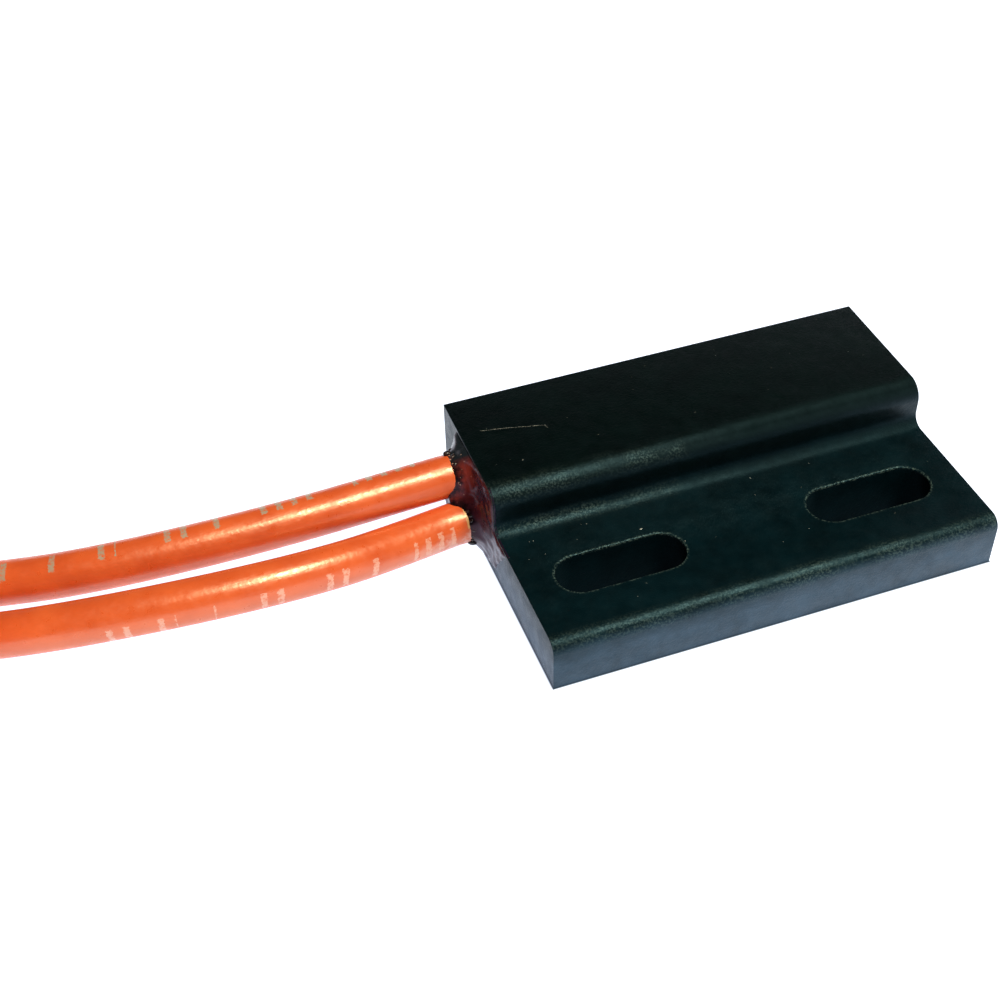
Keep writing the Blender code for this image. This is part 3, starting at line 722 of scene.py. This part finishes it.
def depth_in_film(y, z):
    """How far inside the film's outline a point is, with the ragged line of a liquid's edge."""
    depth = -FAR_OUTSIDE
    for (y0, z0), (y1, z1) in zip(FILM_EDGE, FILM_EDGE[1:]):
        length = math.hypot(y1 - y0, z1 - z0)
        depth = min(depth, ((y - y0) * (z1 - z0) - (z - z0) * (y1 - y0)) / length)
    return depth + 0.22 * noise.noise((y * 1.3, z * 1.3, 4))


def resin_height(y, z):
    """The resin's height above the end face, in millimetres."""
    depth = min(depth_in_section(y, z), depth_in_film(y, z))
    shown = smooth_step((depth + 0.02) / 0.3)
    height = -0.05 + 0.13 * shown
    gaps = [math.hypot(y - m.y / MM, z - m.z / MM) - LEAD_RADIUS / MM for m in (REAR_MOUTH, FRONT_MOUTH)]
    for gap, climb in zip(gaps, (0.95, 0.8)):
        height += shown * climb * math.exp(-max(gap, -0.3) / 0.42)
    height += 1.5 * shown * math.exp(-max(0, sum(gaps) - 0.25) / 0.3)
    height += shown * 0.05 * noise.noise((y * 2.1, z * 2.1, 9))
    return min(height, 1.6)


# %% The resin's skin
CELL = 0.075


def resin_skin():
    """A grid of cells over the end face, with a back just inside it, trimmed to the film."""
    wide, tall = round(11.2 / CELL), round(6.3 / CELL)
    shape = bmesh.new()
    rows = {"face": [], "back": []}
    for j in range(tall + 1):
        for side in rows.values():
            side.append([])
        for i in range(wide + 1):
            y, z = -2.6 + CELL * i, 0.03 + CELL * j
            height = resin_height(y, z)
            rows["face"][-1].append(shape.verts.new((LEFT - height * MM, y * MM, z * MM)))
            rows["back"][-1].append(shape.verts.new((LEFT + 0.12 * MM, y * MM, z * MM)))
    for side, flip in (("face", False), ("back", True)):
        grid = rows[side]
        for j in range(tall):
            for i in range(wide):
                corners = (grid[j][i], grid[j + 1][i], grid[j + 1][i + 1], grid[j][i + 1])
                shape.faces.new(corners[::-1] if flip else corners)
    keep_resin_only(shape, rows)
    kept = [v for row in rows["face"] for v in row if v.is_valid]
    settled = [v for v in kept if all(len(e.link_faces) == 2 for e in v.link_edges)]
    all_ways = {"use_axis_x": True, "use_axis_y": True, "use_axis_z": True}
    for _ in range(3):
        bmesh.ops.smooth_vert(shape, verts=settled, factor=0.5, **all_ways)
    return shape


def keep_resin_only(shape, rows):
    """Drop the cells that lie outside the film, and close the rim that is left."""
    gone = []
    face, back = rows["face"], rows["back"]
    shape.faces.ensure_lookup_table()
    count = len(shape.faces) // 2
    for n in range(count):
        corners = shape.faces[n].verts
        if all(LEFT - v.co.x < -0.045 * MM for v in corners):
            gone += [shape.faces[n], shape.faces[n + count]]
    bmesh.ops.delete(shape, geom=gone, context="FACES")
    pairs = {a: b for fa, ba in zip(face, back) for a, b in zip(fa, ba)}
    rim = [e for e in shape.edges if len(e.link_faces) == 1 and e.verts[0] in pairs]
    for edge in rim:
        a, b = edge.verts
        shape.faces.new((a, b, pairs[b], pairs[a]))
    loose = [v for v in shape.verts if not v.link_faces]
    bmesh.ops.delete(shape, geom=loose, context="VERTS")
    bmesh.ops.recalc_face_normals(shape, faces=shape.faces)


skin = new_piece("resin_skin", resin_skin())
skin.data.shade_smooth()
print("resin skin:", len(skin.data.polygons), "faces")

# %% [markdown]
# ## Beads of dark resin
# Where the resin met the leads it left small dark beads and smears. The ragged rows of beads round each lead
# are partly real dark resin and partly painted shade in the crease where the collar meets the lead. They are
# one shape repeated at chosen places, so a small tree puts a ball at each point and gives it the point's own
# size.

# %% Beads
def bead_tree():
    """A ball at every point, as large as the point says, flattened and turned at random."""
    inputs = {"Finish": "NodeSocketMaterial", "Flatten": "NodeSocketFloat", "Seed": "NodeSocketInt"}
    tree = new_tree("beads", inputs)
    given = add_node(tree, "NodeGroupInput").outputs
    ball = output(tree, "GeometryNodeMeshIcoSphere", {"Radius": 1.0, "Subdivisions": 3})
    size = output(tree, "GeometryNodeInputNamedAttribute", {"Name": "size"}, data_type="FLOAT")
    flat = times(size, given["Flatten"])
    scale = output(tree, "ShaderNodeCombineXYZ", {0: size, 1: flat, 2: flat})
    turn_range = {0: (-0.5, -0.5, -0.5), 1: (0.5, 0.5, 0.5), "Seed": given["Seed"]}
    turn = output(tree, "FunctionNodeRandomValue", turn_range, data_type="FLOAT_VECTOR")
    points = output(tree, "GeometryNodeMeshToPoints", {"Mesh": given["Geometry"]})
    placed = {"Points": points, "Instance": ball, "Scale": scale, "Rotation": turn}
    many = output(tree, "GeometryNodeInstanceOnPoints", placed)
    plain = output(tree, "GeometryNodeRealizeInstances", {0: many})
    smooth = output(tree, "GeometryNodeSetShadeSmooth", {"Geometry": plain})
    finished = add_node(tree, "GeometryNodeSetMaterial", {"Geometry": smooth, "Material": given["Finish"]})
    add_node(tree, "NodeGroupOutput", {0: finished.outputs[0]})
    return tree


def sized_points(name, spots):
    """Loose points, each with a size in millimetres."""
    data = bpy.data.meshes.new(name)
    data.from_pydata([tuple(Vector(p) * MM) for p, _ in spots], [], [])
    sizes = data.attributes.new("size", "FLOAT", "POINT")
    for item, (_, size) in zip(sizes.data, spots):
        item.value = size * MM
    return data


def round_lead(mouth, degrees, out, lift=0.0):
    """A place on a lead's surface, out from the end face. 0 degrees is to the rear, 90 is up."""
    a = math.radians(degrees)
    reach = LEAD_RADIUS / MM + lift
    return (LEFT / MM - out, mouth.y / MM + reach * math.cos(a), mouth.z / MM + reach * math.sin(a))


def beads_round(mouth, start, end, out, step=9, size=0.2):
    """A ragged row of beads part of the way round a lead."""
    spots = []
    for degrees in range(start, end, step):
        chance = noise.random_unit_vector()
        place = round_lead(mouth, degrees + 3 * chance.x, out + 0.12 * chance.y, -0.02 + 0.04 * chance.z)
        spots.append((place, size * (0.65 + 0.35 * abs(chance.z))))
    return spots


noise.seed_set(5)
# The ragged rows round the leads: partly real dark beads, partly painted shade in the crease.
BEADS = beads_round(REAR_MOUTH, 30, 250, 0.62) + beads_round(FRONT_MOUTH, 70, 260, 0.7, 14)
BEADS += [
    (round_lead(REAR_MOUTH, 68, 0.95, 0.05), 0.32),
    (round_lead(REAR_MOUTH, 88, 0.75, 0.06), 0.28),
    (round_lead(REAR_MOUTH, 112, 0.75, 0.0), 0.24),
    (round_lead(REAR_MOUTH, 48, 0.5, 0.05), 0.34),
    (round_lead(REAR_MOUTH, 236, 0.9, 0.05), 0.3),
    (round_lead(FRONT_MOUTH, 214, 0.8, 0.05), 0.3),
    (round_lead(FRONT_MOUTH, 238, 0.4, 0.1), 0.3),
]
CRUMBS = beads_round(REAR_MOUTH, 100, 300, 0.72, 7, 0.1) + beads_round(REAR_MOUTH, 60, 250, 0.95, 16, 0.08)
CRUMBS += beads_round(FRONT_MOUTH, 90, 250, 0.55, 13, 0.09)

# %% [markdown]
# ## Red casting resin
# The resin is red round a point by the rear lead and almost black farther off. An almost black ring of painted
# shade lies in the crease round each lead. The resin is smooth and wet-looking, so its roughness is low.

# %% Resin finishes
def by_the_leads(tree, inside, outside):
    """1 in a ring round each lead's mouth, between two distances from its surface in millimetres."""
    _, y, z = coordinates(tree)
    flat = output(tree, "ShaderNodeCombineXYZ", {1: y, 2: z})
    rough_edge = math_node("MULTIPLY_ADD", grain(tree, 0.3, 3, 0.6), 0.7 * MM, -0.35 * MM)
    rings = []
    for mouth in (REAR_MOUTH, FRONT_MOUTH):
        ends = {0: flat, 1: (0, mouth.y, mouth.z)}
        reach = add_node(tree, "ShaderNodeVectorMath", ends, operation="DISTANCE").outputs["Value"]
        gap = plus(minus(reach, LEAD_RADIUS), rough_edge)
        part = over(minus(gap, inside * MM), (outside - inside) * MM)
        rings.append(ramp(part, [(0.0, 1.0), (1.0, 0.0)]))
    return larger(*rings)


RED_SPOT_CENTRE = Vector((LEFT, 5.6 * MM, 4.6 * MM))
RED_SPOT_REACH = 6.0
TOP_CORNER = 10.0


def red_resin():
    """Red near the rear lead, almost black in a ring of painted shade round both leads, and slate in the
    pocket's top corner.
    """
    gloss = {"Specular_IOR_Level": 0.28, "Specular_Tint": (1, 0.6, 0.75, 1)}
    made, tree, shader = new_material("red_resin", 0.2, **gloss)
    # Red round a point by the rear lead, darker farther away.
    glow = add_node(tree, "ShaderNodeVectorMath", {0: here(tree), 1: RED_SPOT_CENTRE}, operation="DISTANCE")
    cloudy = math_node("MULTIPLY_ADD", grain(tree, 1.7, 2), 3.4 * MM, -1.7 * MM)
    reach = over(plus(glow.outputs["Value"], cloudy), RED_SPOT_REACH * MM)
    stops = [
        (0.0, (0.42, 0.07, 0.035)),
        (0.22, (0.2, 0.028, 0.02)),
        (0.42, (0.05, 0.009, 0.014)),
        (0.62, (0.022, 0.008, 0.02)),
        (1.0, (0.01, 0.008, 0.022)),
    ]
    colour = ramp(reach, stops, "EASE")
    # Painted shade: an almost black ring in the crease where the resin meets each lead.
    colour = blended(by_the_leads(tree, 0.05, 0.4), colour, (0.006, 0.003, 0.004, 1))
    _, y, z = coordinates(tree)
    top_corner = minus(plus(y, z), TOP_CORNER * MM)
    top_corner = ramp(over(top_corner, MM), [(0.0, 0.0), (0.8, 1.0)])
    colour = blended(top_corner, colour, (0.012, 0.017, 0.022, 1))
    crumbs = ramp(grain(tree, 0.26, 2), [(0.68, 0.0), (0.74, 1.0)])
    crumbs = times(crumbs, by_the_leads(tree, 0.6, 1.0), 0.4)
    wire(
        shader,
        Base_Color=blended(crumbs, colour, (0.6, 0.4, 0.3, 1)),
        Roughness=ramp(grain(tree, 1.0, 2), [(0.35, 0.14), (0.7, 0.34)]),
        Normal=bump(grain(tree, 1.5, 1), 0.2),
    )
    return made


def dark_resin_and_shade():
    """The finish of the dark beads: dark resin, and in the rows round the leads painted shade."""
    made, tree, shader = new_material("dark_resin_and_shade", 0.3)
    colour = ramp(grain(tree, 0.25, 3), [(0.4, (0.004, 0.003, 0.004)), (0.75, (0.05, 0.015, 0.012))])
    wire(shader, Base_Color=colour, Normal=bump(grain(tree, 0.2, 3), 0.04))
    return made


resin = red_resin()
skin.data.materials.append(resin)
values = {"Finish": dark_resin_and_shade(), "Flatten": 0.62, "Seed": 7}
beads = grown("resin_beads_and_shade", bead_tree(), sized_points("bead_points", BEADS), values)


def pale_resin():
    """The finish of the small, brighter crumbs."""
    made, tree, shader = new_material("pale_resin", 0.35)
    colour = ramp(grain(tree, 0.3, 2), [(0.35, (0.3, 0.09, 0.05)), (0.65, (0.75, 0.5, 0.38))])
    wire(shader, Base_Color=colour)
    return made


values = {"Finish": pale_resin(), "Flatten": 0.7, "Seed": 9}
crumbs = grown("resin_crumbs", bead_tree(), sized_points("crumb_points", CRUMBS), values)

# %% [markdown]
# ## Orange vinyl
# Extruded vinyl is smooth with a soft gloss and a trace of the die's drag along it. The maker's print is left
# out. Plain ink bars in worn grey stand for it, and they follow the two numbers stored on the tube: one along
# the lead and one round it. On the front lead by the mouth, a cream ring is a painted highlight and pale
# blotches on the underside are a painted reflection of the white table.

# %% The leads' finish
BAR_PITCH = 0.95
BAR_HALF_HEIGHT = 0.62
GROUP_PITCH = 6.1


def printed_ink(tree, along, around, seed):
    """A mask of worn bars along a line, in short groups."""
    cells = over(along, BAR_PITCH)
    seeded = plus(math_node("FLOOR", cells), seed)
    pick = output(tree, "ShaderNodeTexWhiteNoise", {"W": seeded}, noise_dimensions="1D")
    group = math_node("FRACT", over(plus(along, seed), GROUP_PITCH))
    wobble = math_node("MULTIPLY_ADD", grain(tree, 0.16, 2), 0.3, -0.15)
    edge = plus(math_node("FRACT", cells), wobble)
    height = size_of(plus(around, wobble))
    return times(
        above(edge, 0.22),
        below(edge, 0.6),
        below(height, BAR_HALF_HEIGHT),
        above(pick, 0.28),
        below(group, 0.66),
        ramp(grain(tree, 0.22, 4, 0.7), [(0.36, 0.0), (0.5, 1.0)]),
    )


HIGHLIGHT_RING_AT = 0.95
HIGHLIGHT_RING_HALF_WIDTH = 0.13


def painted_light_at_mouth(tree, tone, along, around):
    """Painted light by the front lead's mouth: a cream ring of painted highlight on the upper side, and pale
    blotches of painted reflection of the white table on the underside.
    """
    upper = above(around, 0.2)
    off_rim = size_of(minus(along, HIGHLIGHT_RING_AT))
    # Painted highlight: a cream ring round the upper side, a short way out from the mouth.
    rim = times(below(off_rim, HIGHLIGHT_RING_HALF_WIDTH), upper, 0.75)
    tone = blended(rim, tone, (0.8, 0.5, 0.2, 1))
    near = ramp(over(along, 6), [(0.35, 1.0), (1.0, 0.0)])
    # Painted reflection of the white table: pale blotches on the underside near the mouth.
    blotch = ramp(grain(tree, 0.9, 3, 0.6), [(0.43, 0.0), (0.54, 0.7)])
    under = ramp(plus(around, 0.1), [(0.0, 1.0), (0.5, 0.0)])
    return blended(times(near, blotch, under), tone, (0.85, 0.42, 0.33, 1))


# The drag's noise is read in the stored numbers, which are small, so its size is large.
DRAG = 33


def orange_vinyl(name, seed, ink):
    """A warm gloss over orange that varies a little, with the print and, on the front lead, the painted
    highlight and painted reflection by the mouth.
    """
    gloss = {"Specular_IOR_Level": 0.85, "IOR": 1.62, "Specular_Tint": (1, 0.84, 0.62, 1)}
    made, tree, shader = new_material(name, 0.33, **gloss)
    run = output(tree, "ShaderNodeUVMap", uv_map="lead_run")
    parts = add_node(tree, "ShaderNodeSeparateXYZ", {0: run}).outputs
    along = times(parts[0], 1 / UV_ALONG)
    around = times(parts[1], 1 / UV_AROUND)
    tone = ramp(grain(tree, 2.2, 4), [(0.3, (0.67, 0.094, 0.022)), (0.7, (0.8, 0.132, 0.032))])
    if name == "front_vinyl":
        tone = painted_light_at_mouth(tree, tone, along, around)
    inked = times(printed_ink(tree, along, around, seed), 0.85)
    drag = bump(grain(tree, DRAG, 3, place=run), 0.012)
    wire(
        shader,
        Base_Color=blended(inked, tone, (*ink, 1)),
        Roughness=ramp(grain(tree, 0.5, 4), [(0.3, 0.26), (0.72, 0.44)]),
        Normal=bump(grain(tree, 0.3, 1), 0.012, before=drag),
    )
    return made


for which, seed, ink in (("rear", 3, (0.4, 0.36, 0.28)), ("front", 11, (0.86, 0.4, 0.28))):
    insulations[which].data.materials.append(orange_vinyl(f"{which}_vinyl", seed, ink))
print("leads finished")

# %% [markdown]
# ## Black moulded plastic
# The housing is a glass-filled black plastic with a faint blue cast. Handling has worn it, and one fine scratch
# crosses the block. The rounded edges and the slots' rims carry pale flecks: partly wear where the skin is
# polished off the filler, partly a painted highlight. Low on the ends and the front, a reflection of the white
# table is painted. The flecks follow the shape, so they read where the edges are from the frame's own
# coordinates.

# %% The housing's finish
def near_line(coordinate, centre, reach_mm):
    """1 on a line where a coordinate has a value, falling to 0 at reach_mm to each side."""
    off = size_of(minus(coordinate, centre))
    return minus(1, math_node("MINIMUM", over(off, reach_mm * MM), 1))


def slot_rims(x, y, z):
    """1 on the rims of the two slots, seen from above."""
    along = size_of(minus(size_of(x), SLOT_X))
    along = larger(minus(along, SLOT_HALF_STRAIGHT), 0)
    across = minus(y, SLOT_Y)
    squares = plus(times(along, along), times(across, across))
    rim = near_line(math_node("SQRT", squares), SLOT_RADIUS + 0.05 * MM, 0.12)
    return times(rim, above(z, FLANGE_TOP - 0.15 * MM))


BLOCK_TONE = (0.0004, 0.0022, 0.002)
FLANGE_TONE = (0.0008, 0.0065, 0.01)
# Painted reflection of the white table, low on the ends and the front.
TABLE_REFLECTION_TONE = (0.028, 0.05, 0.076, 1)
# Pale flecks: partly wear, partly painted highlight.
WORN_GLINT_TONE = (0.14, 0.21, 0.2, 1)


def plastic_tone(tree, x, y, z):
    """Almost black on the block, bluer on the flange, and lightest low down on the ends and the front, where a
    reflection of the white table is painted.
    """
    tone = ramp(over(z, TOP), [(0.52, FLANGE_TONE), (0.75, BLOCK_TONE)])
    far_x = over(size_of(x), RIGHT)
    far_y = over(y, FRONT)
    outside = above(larger(far_x, far_y), 0.98)
    low_reflection = ramp(over(z, FLANGE_TOP), [(0.5, 1.0), (0.95, 0.0)])
    # Painted reflection: the white table is painted low down on the ends and the front.
    tone = blended(times(outside, low_reflection), tone, TABLE_REFLECTION_TONE)
    cloudy = ramp(grain(tree, 2.4, 5, 0.65), [(0.3, 0.55), (0.7, 1.5)])
    return output(tree, "ShaderNodeVectorMath", {0: tone, "Scale": cloudy}, operation="SCALE")


def rounded_edges(y, z):
    """1 on each of the three bends of the section: the block's edge, the flange's edge and the block's foot."""
    block = near_line(plus(y, z), BLOCK_FRONT + TOP + 0.25 * MM, 1.3)
    block = times(block, above(z, 4.8 * MM))
    flange = near_line(minus(z, y), FLANGE_TOP - FRONT, 1.05)
    flange = times(flange, below(y, FRONT + 1.6 * MM))
    foot = near_line(plus(y, z), BLOCK_FRONT + FLANGE_TOP, 0.9)
    foot = times(foot, near_line(z, FLANGE_TOP, 1.0))
    return block, flange, foot


def black_plastic():
    """Cloudy black with pale flecks on the rounded edges and the slots' rims: partly wear where the skin is
    polished off, partly a painted highlight. The two rear bends lose them to the right, where the highlight
    fades.
    """
    gloss = {"Specular_IOR_Level": 0.25, "Specular_Tint": (0.4, 0.8, 1, 1)}
    made, tree, shader = new_material("black_plastic", 0.42, **gloss)
    x, y, z = coordinates(tree)
    block, flange, foot = rounded_edges(y, z)
    edges = larger(block, flange, foot)
    fleck = ramp(grain(tree, 0.13, 3, 0.7), [(0.49, 0.0), (0.57, 1.0)])
    patchy = ramp(grain(tree, 3.2, 3), [(0.36, 0.25), (0.6, 1.0)])
    from_left = math_node("MULTIPLY_ADD", x, 0.5 / RIGHT, 0.5)
    back = larger(block, foot)
    # The painted highlight on the block's edge and foot fades to the right, and those bends turn rougher there.
    glint_fade = times(back, ramp(from_left, [(0.15, 0.0), (0.6, 1.0)]))
    edges = minus(times(edges, patchy), glint_fade)
    # The slots' rims get flecks too: partly wear, partly a painted highlight.
    rims = times(slot_rims(x, y, z), 1.1)
    # Pale flecks on the edges and rims: partly wear, partly painted highlight.
    worn_and_glint = times(larger(edges, rims), fleck)
    shine = ramp(grain(tree, 0.9, 5, 0.65), [(0.3, 0.3), (0.72, 0.5)])
    shine = math_node("MULTIPLY_ADD", glint_fade, 0.45, shine)
    pitted = bump(grain(tree, 0.17, 4, 0.7), 0.03)
    wire(
        shader,
        Base_Color=blended(times(worn_and_glint, 0.5), plastic_tone(tree, x, y, z), WORN_GLINT_TONE),
        Roughness=math_node("MULTIPLY_ADD", worn_and_glint, -0.12, shine),
        Normal=bump(grain(tree, 1.6, 3), 0.04, before=pitted),
    )
    return made


housing.data.materials.append(black_plastic())

# %% [markdown]
# ## Dust and a scratch
# A part that has been handled carries a few pale specks and a fine scratch. They are thin flakes that lie on
# the surface: the beads' tree makes them again, much flatter and paler, at a few chosen places and along the
# scratch.

# %% Dust
def scratch_line(points, spacing):
    """Places along a broken line, in millimetres."""
    places = []
    for a, b in zip(points, points[1:]):
        a, b = Vector(a), Vector(b)
        count = max(2, round((b - a).length / spacing))
        places += [tuple(a.lerp(b, i / count)) for i in range(count)]
    return places


def pale_dust():
    """The finish of the specks."""
    made, tree, shader = new_material("pale_dust", 0.7)
    colour = ramp(grain(tree, 0.1, 2), [(0.3, (0.35, 0.38, 0.36)), (0.7, (0.8, 0.8, 0.76))])
    wire(shader, Base_Color=colour)
    return made


block_top, flange_top = TOP / MM, FLANGE_TOP / MM
SPECKS = [
    ((-11.47, 2.79, block_top), 0.05),
    ((-12.35, -1.19, flange_top), 0.05),
    ((-5.98, -2.55, flange_top), 0.1),
    ((2.1, -0.8, flange_top), 0.05),
    ((-3.96, -4.42, flange_top), 0.05),
    ((14.1, 0.57, flange_top), 0.05),
]
noise.seed_set(12)
for count, (low_y, high_y, level) in ((26, (-7.6, -0.6, flange_top)), (18, (2.8, 9.0, block_top))):
    for _ in range(count):
        chance = noise.random_vector()
        x, y = 13.5 * chance.x, (low_y + high_y) / 2 + (high_y - low_y) / 2 * chance.y
        by_slot = abs(abs(x) - SLOT_X / MM) < 4.6 and abs(y - SLOT_Y / MM) < 1.9
        if level != flange_top or not by_slot:
            SPECKS.append(((x, y, level), 0.018 + 0.014 * abs(chance.z)))
scratch_path = [(-12.99, 6.27), (-11.4, 5.95), (-9.07, 5.36), (-9.0, 5.02)]
cut_path = [(x, y, block_top) for x, y in scratch_path]
SPECKS += [(place, 0.012 + 0.018 * abs(noise.random())) for place in scratch_line(cut_path, 0.05)]
values = {"Finish": pale_dust(), "Flatten": 0.35, "Seed": 4}
dust = grown("dust", bead_tree(), sized_points("dust_points", SPECKS), values)
print("specks:", len(SPECKS))

# %% [markdown]
# ## The tie
# The spare lead is held by a white tie: a strip of thin plastic wrapped round the rear run of the hank, with
# its end lapped over itself on top. Here the tie is a plain closed band with rounded edges.

# %% The tie
def tie_ring(grow, corner, steps=8):
    """The tie's outline in Y and Z round the bundle, grown outwards by an amount."""
    low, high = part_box("lead_tie")
    wall = 0.4 * MM - grow
    low, high = (low[1] + wall, low[2] + wall), (high[1] - wall, high[2] - wall)
    (y0, z0), (y1, z1) = (low[0] + corner, low[1] + corner), (high[0] - corner, high[1] - corner)
    middles = [((y1, z0), -90), ((y1, z1), 0), ((y0, z1), 90), ((y0, z0), 180)]
    return [p for middle, start in middles for p in arc(middle, corner, start, start + 90, steps)]


def strip_round(inner, outer, low_x, high_x):
    """A closed band between two outlines, with its edges rounded."""
    shape = bmesh.new()
    sides = ((low_x, outer), (high_x, outer), (high_x, inner), (low_x, inner))
    rings = [[shape.verts.new((x, *point)) for point in outline] for x, outline in sides]
    for ring, after in zip(rings, rings[1:] + rings[:1]):
        for i in range(len(ring)):
            j = (i + 1) % len(ring)
            shape.faces.new((ring[i], ring[j], after[j], after[i]))
    bmesh.ops.recalc_face_normals(shape, faces=shape.faces)
    ease(shape, lambda e: e.calc_face_angle(0) > 1, 0.07 * MM, 3)
    return shape


tie_low, tie_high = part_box("lead_tie")
TIE_CORNER, TIE_INSIDE, TIE_STRIP = 0.5 * MM, 0.02 * MM, 0.25 * MM
inner = tie_ring(TIE_INSIDE, TIE_CORNER)
outer = tie_ring(TIE_INSIDE + TIE_STRIP, TIE_CORNER + TIE_STRIP)
tie = new_piece("hank_tie", strip_round(inner, outer, tie_low[0], tie_high[0]))
tie.data.shade_smooth()
tie.data.set_sharp_from_angle(angle=math.radians(40))
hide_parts("lead_tie")


def white_plastic():
    """Slightly ribbed white, for the tie."""
    made, tree, shader = new_material("white_tie", 0.45)
    colour = ramp(grain(tree, 1.5, 3), [(0.3, (0.72, 0.72, 0.7)), (0.7, (0.84, 0.84, 0.82))])
    ribs = grain(tree, 0.25, 2, stretch=(3, 0.3, 0.3))
    wire(shader, Base_Color=colour, Normal=bump(ribs, 0.02))
    return made


tie.data.materials.append(white_plastic())

# %% [markdown]
# ## What the resin hides
# The reed switch is a glass capsule with two nickel-iron blades whose tips overlap. Its leads are crimped to
# the stranded conductors, and sleeves keep the resin off the glass and the joints. These pieces keep the
# frame's shapes and get a metal, glass or rubber finish of their own.

# %% Finishes inside the housing
def worn_metal(name, light, dark, rough):
    """Bare metal with duller patches and fine lines along it."""
    made, tree, shader = new_material(name, rough, Metallic=1.0)
    patches = grain(tree, 0.4, 4)
    wire(
        shader,
        Base_Color=ramp(patches, [(0.3, light), (0.7, dark)]),
        Roughness=ramp(patches, [(0.3, rough - 0.08), (0.7, rough + 0.12)]),
        Normal=bump(grain(tree, 0.08, 2, stretch=(0.2, 1, 1)), 0.004),
    )
    return made


def sleeve_rubber():
    """Dull black rubber."""
    made, tree, shader = new_material("black_sleeve", 0.6)
    colour = ramp(grain(tree, 0.6, 3), [(0.3, 0.012), (0.7, 0.03)])
    wire(shader, Base_Color=colour, Normal=bump(grain(tree, 0.1, 3), 0.01))
    return made


def capsule_glass():
    """Clear glass with a green cast."""
    made, tree, shader = new_material("clear_glass", 0.04, Transmission_Weight=1.0, IOR=1.5)
    colour = ramp(grain(tree, 2.0, 2), [(0.3, (0.8, 0.93, 0.88)), (0.7, (0.9, 0.98, 0.95))])
    wire(shader, Base_Color=colour, Roughness=ramp(grain(tree, 0.5, 2), [(0.4, 0.02), (0.8, 0.08)]))
    return made


def finish_node(name, material):
    """Give a CAD node a finish in place of its plain one."""
    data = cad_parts[name].data
    data.materials.clear()
    data.materials.append(material)


finishes = {
    worn_metal("nickel_iron", (0.66, 0.64, 0.6), (0.48, 0.46, 0.42), 0.3): ["reed_lead", "reed_blade"],
    worn_metal("tinned_brass", (0.75, 0.72, 0.62), (0.55, 0.5, 0.38), 0.35): ["splice_crimp"],
    sleeve_rubber(): ["splice_sleeve", "capsule_sleeve"],
    capsule_glass(): ["reed_glass"],
    tinned: ["strand_"],
    resin: ["potting"],
}
for finish, words in finishes.items():
    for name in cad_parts:
        if any(word in name for word in words):
            finish_node(name, finish)
print("finished CAD nodes:", sum(any(w in n for ws in finishes.values() for w in ws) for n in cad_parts))

# %% [markdown]
# ## The table and the light
# A small black object is lit like this in a studio: it stands on a bright white table, one soft lamp hangs high
# in front of it, and the room behind is dark. The table shows in the faces that look down or outwards, the lamp
# in the rounded edges, and the dark room keeps the top faces deep.

# %% Table, lamp and room
def white_table():
    """A glowing white table. It stays dark under the housing, where no light gets in."""
    bpy.ops.mesh.primitive_grid_add(x_subdivisions=2, y_subdivisions=2, size=3)
    table = bpy.context.object
    table.name = "table"
    glow = {"Specular_IOR_Level": 0.1, "Emission_Color": (1.08, 1.18, 1.4, 1)}
    made, tree, shader = new_material("table_white", 0.7, **glow)
    x, y, _ = coordinates(tree)
    past_x = minus(size_of(x), RIGHT)
    past_y = minus(size_of(y), -FRONT)
    open_table = over(larger(past_x, past_y), 0.1 * MM)
    paper = ramp(grain(tree, 40, 3), [(0.3, 0.28), (0.7, 0.32)])
    wire(
        shader,
        Base_Color=blended(open_table, (0.02, 0.05, 0.075, 1), paper),
        Emission_Strength=ramp(open_table, [(0.0, 0.02), (1.0, 1.0)]),
    )
    table.data.materials.append(made)
    return table


def soft_lamp(name, direction, distance, size, watts, colour=(1, 1, 1)):
    """An oblong area lamp that faces the middle of the housing."""
    data = bpy.data.lights.new(name, "AREA")
    data.shape = "RECTANGLE"
    data.size, data.size_y = size
    data.energy = watts
    data.color = colour
    lamp = bpy.data.objects.new(name, data)
    lamp.location = Vector(direction).normalized() * distance
    lamp.rotation_euler = Vector(direction).to_track_quat("Z", "Y").to_euler()
    bpy.context.scene.collection.objects.link(lamp)
    return lamp


def dark_room():
    """A room that is bright near the table and dark above."""
    world = bpy.data.worlds.new("room")
    world.use_nodes = True
    tree = world.node_tree
    direction = tree.nodes.new("ShaderNodeTexCoord").outputs["Generated"]
    height = add_node(tree, "ShaderNodeSeparateXYZ", {0: direction}).outputs[2]
    stops = [
        (0.0, (0.9, 0.95, 1.0)),
        (0.1, (0.5, 0.55, 0.6)),
        (0.22, (0.01, 0.013, 0.015)),
        (1.0, (0.002, 0.003, 0.004)),
    ]
    tree.links.new(ramp(height, stops), tree.nodes["Background"].inputs[0])
    bpy.context.scene.world = world
    return world


table = white_table()
soft_lamp("key_lamp", (0.25, -0.27, 0.92), 0.7, (0.26, 0.08), 6.2, (1, 0.93, 0.72))
dark_room()
bpy.context.scene.view_settings.view_transform = "Standard"
print("stage set")
